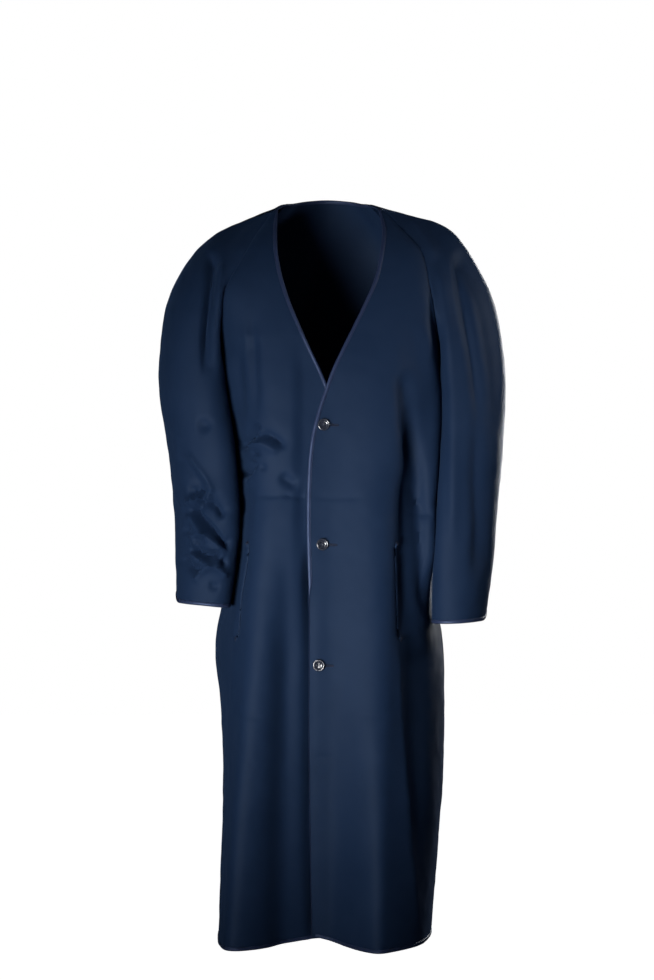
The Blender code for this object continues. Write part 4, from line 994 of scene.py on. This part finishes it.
def strip_of(name, sections, closed=False):
    """A closed strip through equal sections: each is extruded from the last and moved to its place."""
    count = len(sections[0])
    shape = bmesh.new()
    number = shape.verts.layers.int.new("number")
    first = [shape.verts.new(point) for point in sections[0]]
    ring = [shape.edges.new((first[i], first[(i + 1) % count])) for i in range(count)]
    start = list(ring)
    for i, vertex in enumerate(first):
        vertex[number] = i
    for section in sections[1:]:
        extruded = bmesh.ops.extrude_edge_only(shape, edges=ring)
        ring = [item for item in extruded["geom"] if isinstance(item, bmesh.types.BMEdge)]
        for item in extruded["geom"]:
            if isinstance(item, bmesh.types.BMVert):
                item.co = section[item[number]]
    if closed:
        bmesh.ops.bridge_loops(shape, edges=start + ring)
    else:
        caps = bmesh.ops.contextual_create(shape, geom=start)["faces"]
        caps += bmesh.ops.contextual_create(shape, geom=ring)["faces"]
        bmesh.ops.triangulate(shape, faces=caps, ngon_method="EAR_CLIP")
    return object_of(name, shape)


def joined(runs):
    """All the runs' sections, with those near each join averaged, so that the tape turns smoothly."""
    made = np.concatenate([np.array(run) for run in runs])
    for _ in range(EASE_ROUNDS):
        before = made.copy()
        for join in np.cumsum([len(run) for run in runs])[:-1]:
            for i in range(max(1, join - EASE_REACH), min(len(made) - 1, join + EASE_REACH + 1)):
                made[i] = (before[i - 1] + 2 * before[i] + before[i + 1]) / 4
    return made


INTO = 9                     # rows of the cloth's grid that a tape's section may reach over
EASE_ROUNDS, EASE_REACH = 3, 4
NECK_COLUMNS = slice((SOLID_YOKE_ROWS + 1) * ROUND_CUTS + 1,
                     (SOLID_YOKE_ROWS + 1 + NECK_SPANS) * ROUND_CUTS)


def edge_sections():
    """The tape's sections up the under front, round the neck and down the top front."""
    sides = {}
    for word in ("right", "left"):
        front = [grid["front_" + word][:, :INTO].transpose(1, 0, 2) for grid in (cloth, normals)]
        tube = [grid["sleeve_" + word][:INTO, NECK_COLUMNS] for grid in (cloth, normals)]
        sides[word] = tape_sections(*front, rolls_under=word == "left"), tape_sections(*tube)
    back = tape_sections(*(grid["back"][::-1][:INTO] for grid in (cloth, normals)))
    return joined([*sides["right"], back, sides["left"][1][::-1], sides["left"][0][::-1]])


def hem_sections():
    """The tape's sections round the hem, from beside one front edge to beside the other."""
    right, left = (tape_sections(*(grid["front_" + word][:INTO, 3:-1] for grid in (cloth, normals)))
                   for word in ("right", "left"))
    back = tape_sections(*(grid["back"][:INTO, 1:-1] for grid in (cloth, normals)))
    return joined([right, back, left[::-1]])


STITCH_EVERY, STITCH_LONG, STITCH_WIDE, STITCH_RAISED = 0.0034, 0.0023, 0.00052, 0.0001
STITCH_LINE, TAPE_EDGE, TAPE_INSIDE = 3, 8, 15   # points of the tape's profile
NARROW_TAPE = 0.003          # a tape that shows less of itself than this has no stitches


def edge_stitches(name, sections):
    """Short stitches along the groove of a tape, one small bead of thread each."""
    sections = np.array(sections)
    line = sections[:, STITCH_LINE]
    gone = path_lengths(line)
    up = unit(line - sections[:, TAPE_INSIDE])
    wide = np.linalg.norm(line - sections[:, TAPE_EDGE], axis=1)
    shape = bmesh.new()
    for place in np.arange(STITCH_EVERY, gone[-1], STITCH_EVERY):
        if np.interp(place, gone, wide) < NARROW_TAPE:
            continue
        spot, before, after, rise = (
            np.array([np.interp(place + shift, gone, of[:, axis]) for axis in range(3)])
            for shift, of in ((0, line), (-0.001, line), (0.001, line), (0, up)))
        way = Vector(after - before).normalized()
        side = Vector(rise).cross(way).normalized()
        turn = Matrix((way, side, way.cross(side))).transposed().to_4x4()
        size = Matrix.Diagonal((STITCH_LONG, STITCH_WIDE, STITCH_WIDE, 1.0))
        bmesh.ops.create_icosphere(shape, subdivisions=1, radius=0.5,
                                   matrix=Matrix.Translation(spot + rise * STITCH_RAISED) @ turn @ size)
    return object_of(name, shape, 180)


edge_runs, hem_runs = edge_sections(), hem_sections()
tapes = {"edge_binding": strip_of("edge_binding_satin", edge_runs),
         "hem_binding": strip_of("hem_binding_satin", hem_runs)}
stitches = {"edge_binding": edge_stitches("edge_binding_stitches", edge_runs),
            "hem_binding": edge_stitches("hem_binding_stitches", hem_runs)}
for word in ("right", "left"):
    tube = [grid["sleeve_" + word][::-1][:INTO, :-1] for grid in (cloth, normals)]
    runs = tape_sections(*tube)
    tapes["cuff_binding_" + word] = strip_of(f"cuff_binding_{word}_satin", runs, closed=True)
    stitches["cuff_binding_" + word] = edge_stitches(f"cuff_binding_{word}_stitches", runs)
for name, tape in tapes.items():
    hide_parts(name)
print({name: len(tape.data.polygons) * 2 for name, tape in tapes.items()})
print({name: len(piece.data.polygons) for name, piece in stitches.items()})

# %% [markdown]
# ## Buttons
# Three polished horn buttons close the coat. Each is one turned profile: a flat back, a rounded
# rim and a dished middle with four holes, sewn on with dark thread. A button stands where its
# solid stands, but on the creased cloth, square to it. The end of a purled buttonhole shows
# beside each.
# %% Buttons with thread
BUTTON_RADIUS, BUTTON_HEIGHT, BUTTON_CLEAR, DISH = 0.0094, 0.0036, 0.0005, 0.52
BUTTON_HOLE_RADIUS, BUTTON_HOLE_SPACING = 0.0011, 0.0021
BUTTON_FEEL = 0.007          # the cloth under a button is felt this far each way
STRAND, STRAND_APART = 0.00026, 0.00042
BUTTON_PROFILE = (           # radius and height as shares of the button's own
    (0.00, 0.00), (0.62, 0.00), (0.80, 0.06), (0.92, 0.20), (0.985, 0.42), (1.00, 0.60), (0.985, 0.78),
    (0.945, 0.92), (0.88, 1.00), (0.80, 0.99), (0.73, 0.92), (0.66, 0.80), (0.59, 0.68), (0.52, 0.60),
    (0.44, 0.55), (0.35, 0.53), (0.00, 0.52),
)


def surface_of(piece):
    """A search tree of one piece's faces, sorted, as a mesh's own order can vary from run to run."""
    faces = sorted(piece.data.polygons, key=lambda face: tuple(face.center))
    return BVHTree.FromPolygons([vertex.co for vertex in piece.data.vertices],
                                [face.vertices for face in faces])


def on_surface(surface, x, z):
    """The point of the surface in front at x and z, and its normal."""
    place, normal, _, _ = surface.ray_cast(Vector((x, -1.0, z)), Vector((0.0, 1.0, 0.0)))
    return np.array(place), np.array(normal)


def nearest(surface, point):
    """The point of the surface nearest to this one, and its normal on the outside."""
    place, normal, _, _ = surface.find_nearest(Vector(point))
    normal = np.array(normal)
    return np.array(place), normal if normal[1] < 0 else -normal


def turned_button(name, place):
    """A button cut with four holes, with its shape finished at the place it is given."""
    shape = bmesh.new()
    corners = [shape.verts.new((r * BUTTON_RADIUS, 0, h * BUTTON_HEIGHT)) for r, h in BUTTON_PROFILE]
    edges = [shape.edges.new(pair) for pair in zip(corners, corners[1:])]
    bmesh.ops.spin(shape, geom=corners + edges, axis=(0, 0, 1), cent=(0, 0, 0), steps=64,
                   angle=2 * math.pi, use_merge=True)
    bmesh.ops.remove_doubles(shape, verts=shape.verts[:], dist=1e-6)
    made = object_of(name, shape, 40)
    holes = bmesh.new()
    for across in (-1, 1):
        for along_x in (-1, 1):
            move = Matrix.Translation((across * BUTTON_HOLE_SPACING, along_x * BUTTON_HOLE_SPACING, 0))
            bmesh.ops.create_cone(holes, cap_ends=True, segments=20, radius1=BUTTON_HOLE_RADIUS,
                                  radius2=BUTTON_HOLE_RADIUS, depth=BUTTON_HEIGHT * 4, matrix=move)
    mesh = bpy.data.meshes.new(name + "_holes")
    holes.to_mesh(mesh)
    holes.free()
    cutter = bpy.data.objects.new(name + "_holes", mesh)
    bpy.context.scene.collection.objects.link(cutter)
    cut = made.modifiers.new("thread holes", "BOOLEAN")
    cut.operation = "DIFFERENCE"
    cut.object = cutter
    depsgraph = bpy.context.evaluated_depsgraph_get()
    made.data = bpy.data.meshes.new_from_object(made.evaluated_get(depsgraph))
    made.modifiers.clear()
    made.data.transform(place)
    bpy.data.objects.remove(cutter)
    return made


def tube_along(shape, points, radius, segments=8):
    """Adds a closed round tube through the points to a bmesh, with rounded ends."""
    points = [Vector(point) for point in points]
    ring = None
    for i, point in enumerate(points):
        way = (points[min(len(points) - 1, i + 1)] - points[max(0, i - 1)]).normalized()
        turn = way.to_track_quat("Z", "Y").to_matrix().to_4x4()
        thick = radius * (0.55 if i in (0, len(points) - 1) else 1.0)
        made = bmesh.ops.create_circle(shape, segments=segments, radius=thick,
                                       matrix=Matrix.Translation(point) @ turn)["verts"]
        edges = list({edge for vertex in made for edge in vertex.link_edges})
        if ring is None:
            bmesh.ops.contextual_create(shape, geom=edges)
        else:
            bmesh.ops.bridge_loops(shape, edges=ring + edges)
        ring = edges
    bmesh.ops.contextual_create(shape, geom=ring)


def button_thread(name, place):
    """Two pairs of stitches through the four holes."""
    shape = bmesh.new()
    top = BUTTON_HEIGHT * DISH
    for across in (-1, 1):
        for beside in (-STRAND_APART, 0.0, STRAND_APART):
            x = across * BUTTON_HOLE_SPACING + beside
            ends = BUTTON_HOLE_SPACING
            height = top + 0.0003 + (0.00018 if beside == 0 else 0.0)
            path = ((x, -ends, top - 0.0010), (x, -ends * 0.92, height - 0.0001), (x, -ends * 0.4, height),
                    (x, ends * 0.4, height), (x, ends * 0.92, height - 0.0001), (x, ends, top - 0.0010))
            tube_along(shape, path, STRAND, 6)
    made = object_of(name, shape, 60)
    made.data.transform(place)
    return made


HOLE_FROM, HOLE_TO, HOLE_HALF_GAP, HOLE_SLANT = -0.003, 0.0225, 0.0012, -0.05
PURL_RADIUS = 0.00080


def buttonhole(name, surface, x, z):
    """The purled edge of a buttonhole, from under its button away from the closing edge."""
    shape = bmesh.new()
    path = []
    for turn in np.linspace(0, 2 * math.pi, 65):
        along_x = (HOLE_FROM + HOLE_TO) / 2 + (HOLE_TO - HOLE_FROM) / 2 * math.cos(turn)
        up_z = HOLE_HALF_GAP * math.copysign(abs(math.sin(turn)) ** 0.35, math.sin(turn))
        spot, normal = on_surface(surface, x + along_x, z + up_z + HOLE_SLANT * along_x)
        path.append(spot + normal * PURL_RADIUS * 0.7)
    tube_along(shape, path, PURL_RADIUS, 6)
    return object_of(name, shape, 70)


surfaces = {name: surface_of(walls[name]) for name in ("front_left", "front_right")}
buttons, threads, button_points = [], [], []
for number in (1, 2, 3):
    low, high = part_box(f"button_{number}")
    x, z = (low[0] + high[0]) / 2, (low[2] + high[2]) / 2
    spots = [on_surface(surfaces["front_left"], x + dx, z + dz)
             for dx in (-BUTTON_FEEL, 0, BUTTON_FEEL) for dz in (-BUTTON_FEEL, 0, BUTTON_FEEL)]
    point = spots[4][0]
    outwards = unit(sum(normal for _, normal in spots))
    stand = max(float(np.dot(spot - point, outwards)) for spot, _ in spots) + BUTTON_CLEAR
    turn = Vector(outwards).to_track_quat("Z", "Y").to_matrix().to_4x4()
    place = Matrix.Translation(point + outwards * stand) @ turn
    button_points.append(point)
    buttons.append(turned_button(f"button_{number}_horn", place))
    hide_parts(f"button_{number}")
    threads.append(button_thread(f"button_{number}_thread", place))
    threads.append(buttonhole(f"buttonhole_{number}_thread", surfaces["front_left"], x, z))
print("buttons at", [tuple(round(float(c), 4) for c in point) for point in button_points])

# %% [markdown]
# ## Pockets
# Each slanted pocket is a slit with a narrow rounded jet of the coat's own wool along both sides.
# The jets lie on the creased cloth, so they follow its folds. A small tack of thread like the
# letter D holds each end of the slit.
# %% Pocket jets
JET_WIDTH, JET_HEIGHT, JET_SLIT, JET_CLEAR, JET_SPANS = 0.0046, 0.0024, 0.0020, 0.0004, 60
JET_PROFILE = (              # share of the width, share of the height
    (0.00, 0.00), (0.00, 0.45), (0.03, 0.72), (0.12, 0.92), (0.26, 1.00), (0.45, 1.00), (0.62, 0.93),
    (0.78, 0.80), (0.90, 0.60), (0.97, 0.34), (1.00, 0.05), (0.70, 0.00), (0.35, 0.00),
)
JET_TAPER_FROM, JET_TAPER_OVER = 0.55, 0.03
TACK_RADIUS, TACK_THREAD, TACK_BARS = 0.0030, 0.00050, 4
jets, tacks, slit_ends = {}, [], {}


def cad_slit(word):
    """The slit's two ends in x and z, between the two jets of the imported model."""
    side, front = (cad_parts[f"pocket_{word}_jet_{which}"] for which in ("side", "front"))
    ends = []
    for pick in (max, min):
        points = []
        for piece in (side, front):
            level = pick(vertex.co.z for vertex in piece.data.vertices)
            near = [vertex.co for vertex in piece.data.vertices if abs(vertex.co.z - level) < 0.001]
            points.append(sum(near, Vector()) / len(near))
        ends.append(((points[0].x + points[1].x) / 2, (points[0].z + points[1].z) / 2))
    return ends


def end_tack(name, surface, end, away):
    """A tack like the letter D that holds one end of a slit."""
    shape = bmesh.new()
    _, normal = nearest(surface, end)
    across = unit(np.cross(away, normal))
    ring = []
    for turn in np.linspace(0, math.pi, 13):
        spot, up = nearest(surface, end + across * TACK_RADIUS * math.cos(turn)
                           + away * TACK_RADIUS * math.sin(turn))
        ring.append(spot + up * TACK_THREAD)
    tube_along(shape, ring, TACK_THREAD, 6)
    for row in range(TACK_BARS):
        bar = []
        for reach in np.linspace(-1, 1, 7):
            spot, up = nearest(surface, end + across * TACK_RADIUS * reach - away * TACK_THREAD * 1.7 * row)
            bar.append(spot + up * (JET_CLEAR + JET_HEIGHT * 0.75 * (1 - reach ** 4) + TACK_THREAD))
        tube_along(shape, bar, TACK_THREAD, 6)
    return object_of(name, shape, 70)


for word in ("left", "right"):
    surface = surfaces["front_" + word]
    ends = slit_ends[word] = [on_surface(surface, *end)[0] for end in cad_slit(word)]
    to_side = -1 if word == "left" else 1
    for which, way in (("side", to_side), ("front", -to_side)):
        sections = []
        for i in range(JET_SPANS + 1):
            share = i / JET_SPANS
            middle, normal = nearest(surface, ends[0] + (ends[1] - ends[0]) * share)
            across = unit(np.cross(ends[1] - ends[0], normal)) * way
            open_share = float(smooth(0, JET_TAPER_OVER, min(share, 1 - share)))
            taper = JET_TAPER_FROM + (1 - JET_TAPER_FROM) * open_share
            section = []
            for reach, height in JET_PROFILE:
                spot, up = nearest(surface, middle + across * (JET_SLIT / 2 + JET_WIDTH * reach))
                section.append(spot + up * (JET_CLEAR + JET_HEIGHT * height * taper))
            sections.append(section)
        name = f"pocket_{word}_jet_{which}"
        jets[name] = strip_of(name + "_cloth", sections)
        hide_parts(name)
    for which, end, other in (("upper", ends[0], ends[1]), ("lower", ends[1], ends[0])):
        tacks.append(end_tack(f"pocket_{word}_{which}_tack", surface, end, unit(end - other)))
print("slits", {word: [tuple(round(float(c), 3) for c in end) for end in ends]
                for word, ends in slit_ends.items()})

# %% [markdown]
# ## Materials
# The wool is a dark navy twill: rough, with a fine diagonal weave, tiny felted fibres and a faint
# drift of tone. The binding is a satin of a lighter, violet navy that catches light along its
# roll. Buttons are polished horn. Everything is procedural, and each size is given in metres, so
# the cloth looks the same from near and far.
# %% Wool, satin, horn and thread
def filled(node, values):
    """The node with its sockets set to the values, by their names."""
    for name, value in values.items():
        node.inputs[name].default_value = value
    return node


def new_material(name, values):
    """A named material with one shader: the material, its nodes, its links and the shader."""
    made = bpy.data.materials.new(name)
    made.use_nodes = True
    nodes = made.node_tree.nodes
    return made, nodes, made.node_tree.links, filled(nodes["Principled BSDF"], values)


def wool_material():
    """Navy wool twill from the cloth's own UV map in metres."""
    made, nodes, links, shader = new_material("navy_wool_twill", {
        "Roughness": 0.58, "Specular IOR Level": 0.09, "Specular Tint": (0.70, 0.84, 1.0, 1.0),
        "Sheen Weight": 0.10, "Sheen Roughness": 0.45, "Sheen Tint": (0.20, 0.38, 0.80, 1.0)})
    place = nodes.new("ShaderNodeTexCoord")
    drift = filled(nodes.new("ShaderNodeTexNoise"), {"Scale": 16.0, "Detail": 5.0})
    tone = nodes.new("ShaderNodeValToRGB")
    ends = tone.color_ramp.elements
    ends[0].position, ends[0].color = 0.30, (0.0090, 0.0210, 0.0525, 1.0)
    ends[1].position, ends[1].color = 0.72, (0.0113, 0.0246, 0.0590, 1.0)
    weave = filled(nodes.new("ShaderNodeTexWave"), {
        "Scale": 310.0, "Distortion": 1.6, "Detail": 1.0, "Detail Scale": 2.0})
    weave.wave_type = "BANDS"
    weave.bands_direction = "DIAGONAL"
    fibres = filled(nodes.new("ShaderNodeTexNoise"), {"Scale": 620.0, "Detail": 3.0})
    twill = filled(nodes.new("ShaderNodeBump"), {"Strength": 0.22, "Distance": 0.00022})
    felt = filled(nodes.new("ShaderNodeBump"), {"Strength": 0.35, "Distance": 0.00030})
    links.new(place.outputs["Object"], drift.inputs["Vector"])
    links.new(drift.outputs["Fac"], tone.inputs["Fac"])
    links.new(tone.outputs["Color"], shader.inputs["Base Color"])
    links.new(place.outputs["UV"], weave.inputs["Vector"])
    links.new(place.outputs["Object"], fibres.inputs["Vector"])
    links.new(weave.outputs["Fac"], twill.inputs["Height"])
    links.new(fibres.outputs["Fac"], felt.inputs["Height"])
    links.new(twill.outputs["Normal"], felt.inputs["Normal"])
    links.new(felt.outputs["Normal"], shader.inputs["Normal"])
    return made


def satin_material():
    """The binding's satin, with a slight ripple."""
    made, nodes, links, shader = new_material("navy_satin_binding", {
        "Base Color": (0.021, 0.032, 0.076, 1.0), "Roughness": 0.46, "Specular IOR Level": 0.50,
        "Specular Tint": (0.50, 0.66, 1.0, 1.0), "Anisotropic": 0.3})
    place = nodes.new("ShaderNodeTexCoord")
    ripple = filled(nodes.new("ShaderNodeTexNoise"), {"Scale": 260.0, "Detail": 2.0})
    bump = filled(nodes.new("ShaderNodeBump"), {"Strength": 0.25, "Distance": 0.0003})
    links.new(place.outputs["Object"], ripple.inputs["Vector"])
    links.new(ripple.outputs["Fac"], bump.inputs["Height"])
    links.new(bump.outputs["Normal"], shader.inputs["Normal"])
    return made


def plain_material(name, colour, roughness, specular, **more):
    """A material with one colour and one finish."""
    values = {"Base Color": (*colour, 1.0), "Roughness": roughness, "Specular IOR Level": specular}
    return new_material(name, values | more)[0]


wool, satin = wool_material(), satin_material()
horn = plain_material("polished_dark_horn", (0.022, 0.026, 0.040), 0.22, 1.0)
sewing_thread = plain_material("dark_sewing_thread", (0.016, 0.022, 0.046), 0.7, 0.3)
FINISHES = ((list(walls.values()) + list(jets.values()), wool, "navy_wool"),
            (list(tapes.values()), satin, "navy_satin"),
            (buttons, horn, "dark_horn"),
            (threads + tacks + list(stitches.values()), sewing_thread, "navy_wool"))
for pieces, material, slot in FINISHES:
    for piece in pieces:
        piece.data.materials.clear()
        piece.data.materials.append(material)
print("materials", [material.name for material in bpy.data.materials])

# %% [markdown]
# ## Floor, world and light
# The coat hangs above a plain pale floor. The key light stands low in front, at the picture's
# left, and is aimed past the middle, so the waist is brightest and the shoulders and hem fall
# away. A small light at the right draws a soft line down the sleeve there, and one behind shows
# the back. Four small lamps stand in a square round the key's aim. They add little to the cloth,
# but each leaves a glint on a button's rim.
# %% Stage and lights
FLOOR_Z, FLOOR_HALF_WIDTH = -1.42, 7.0
WHITE = (1.0, 1.0, 1.0, 1.0)
floor_shape = bmesh.new()
bmesh.ops.create_grid(floor_shape, x_segments=1, y_segments=1, size=FLOOR_HALF_WIDTH,
                      matrix=Matrix.Translation((0, 0, FLOOR_Z)))
floor_mesh = bpy.data.meshes.new("studio_floor")
floor_shape.to_mesh(floor_mesh)
floor_shape.free()
floor = bpy.data.objects.new("studio_floor", floor_mesh)
bpy.context.scene.collection.objects.link(floor)
paper_glow = {"Emission Color": WHITE, "Emission Strength": 1.0}
floor_mesh.materials.append(plain_material("floor_paper", (0.85, 0.85, 0.86), 0.9, 0.1, **paper_glow))
floor.visible_diffuse = False
floor.visible_glossy = False

world = bpy.data.worlds.new("studio")
bpy.context.scene.world = world
world.use_nodes = True
sky, wires = world.node_tree.nodes, world.node_tree.links
filled(sky["Background"], {"Color": (0.45, 0.65, 1.0, 1.0), "Strength": 0.03})
backdrop = filled(sky.new("ShaderNodeBackground"), {"Color": WHITE, "Strength": 1.0})
ray, chosen = sky.new("ShaderNodeLightPath"), sky.new("ShaderNodeMixShader")
wires.new(ray.outputs["Is Camera Ray"], chosen.inputs["Fac"])
wires.new(sky["Background"].outputs["Background"], chosen.inputs[1])
wires.new(backdrop.outputs["Background"], chosen.inputs[2])
wires.new(chosen.outputs["Shader"], sky["World Output"].inputs["Surface"])


def area_light(name, place, aim, size, power, spread=180):
    """A rectangular area light that the camera doesn't see; size is across and up."""
    data = bpy.data.lights.new(name, "AREA")
    data.shape = "RECTANGLE"
    data.size, data.size_y = size
    data.energy = power
    data.spread = math.radians(spread)
    made = bpy.data.objects.new(name, data)
    made.location = place
    made.rotation_euler = (Vector(aim) - Vector(place)).to_track_quat("-Z", "Y").to_euler()
    made.visible_camera = False
    bpy.context.scene.collection.objects.link(made)


def stands(azimuth, away, height):
    """A place this far from the coat's middle, azimuth degrees to the picture's right."""
    turn = math.radians(azimuth)
    return (away * math.sin(turn), -away * math.cos(turn), height)


GLINT_OUT, GLINT_AWAY, GLINT_MIDDLE_Z = 1.5, 2.2, -0.44
area_light("key", stands(-24, 1.9, -0.90), (0.20, 0, -0.44), (0.8, 0.5), 4.8, 54)
area_light("kicker", stands(88, 1.6, 0.30), (0.28, 0, -0.20), (0.3, 0.3), 0.60, 38)
area_light("back", stands(158, 1.9, -0.10), (0, 0, -0.50), (0.9, 0.9), 6.0, 75)
for across in (-1, 1):
    for up in (-1, 1):
        area_light(f"glint_{across + 1}{up + 1}",
                   (across * GLINT_OUT, -GLINT_AWAY, GLINT_MIDDLE_Z + up * GLINT_OUT), (0, 0, -0.46),
                   (0.30, 0.30), 0.8)
bpy.context.scene.view_settings.view_transform = "Standard"

# %% [markdown]
# ## The cut of the cloth
# Each panel is a sheet that was cut flat and sewn. Its flat width and length are measured here
# along the cloth of this scene, and half the surface of its shell is its flat area.
def flat_size(name):
    """Width, length and area of a panel, measured along its cloth."""
    grid, columns, _ = PANELS[name]
    rows = cloth[grid][:, columns]
    wide = float(path_lengths(rows)[:, -1].max())
    long = float(path_lengths(rows.transpose(1, 0, 2))[:, -1].max())
    area = sum(face.area for face in walls[name].data.polygons) / 2
    return wide, long, min(area, wide * long)


flat_sizes = {}
for name, wall in walls.items():
    wide, long, area = flat_sizes[name] = flat_size(name)
print({name: tuple(round(value, 3) for value in size) for name, size in flat_sizes.items()})
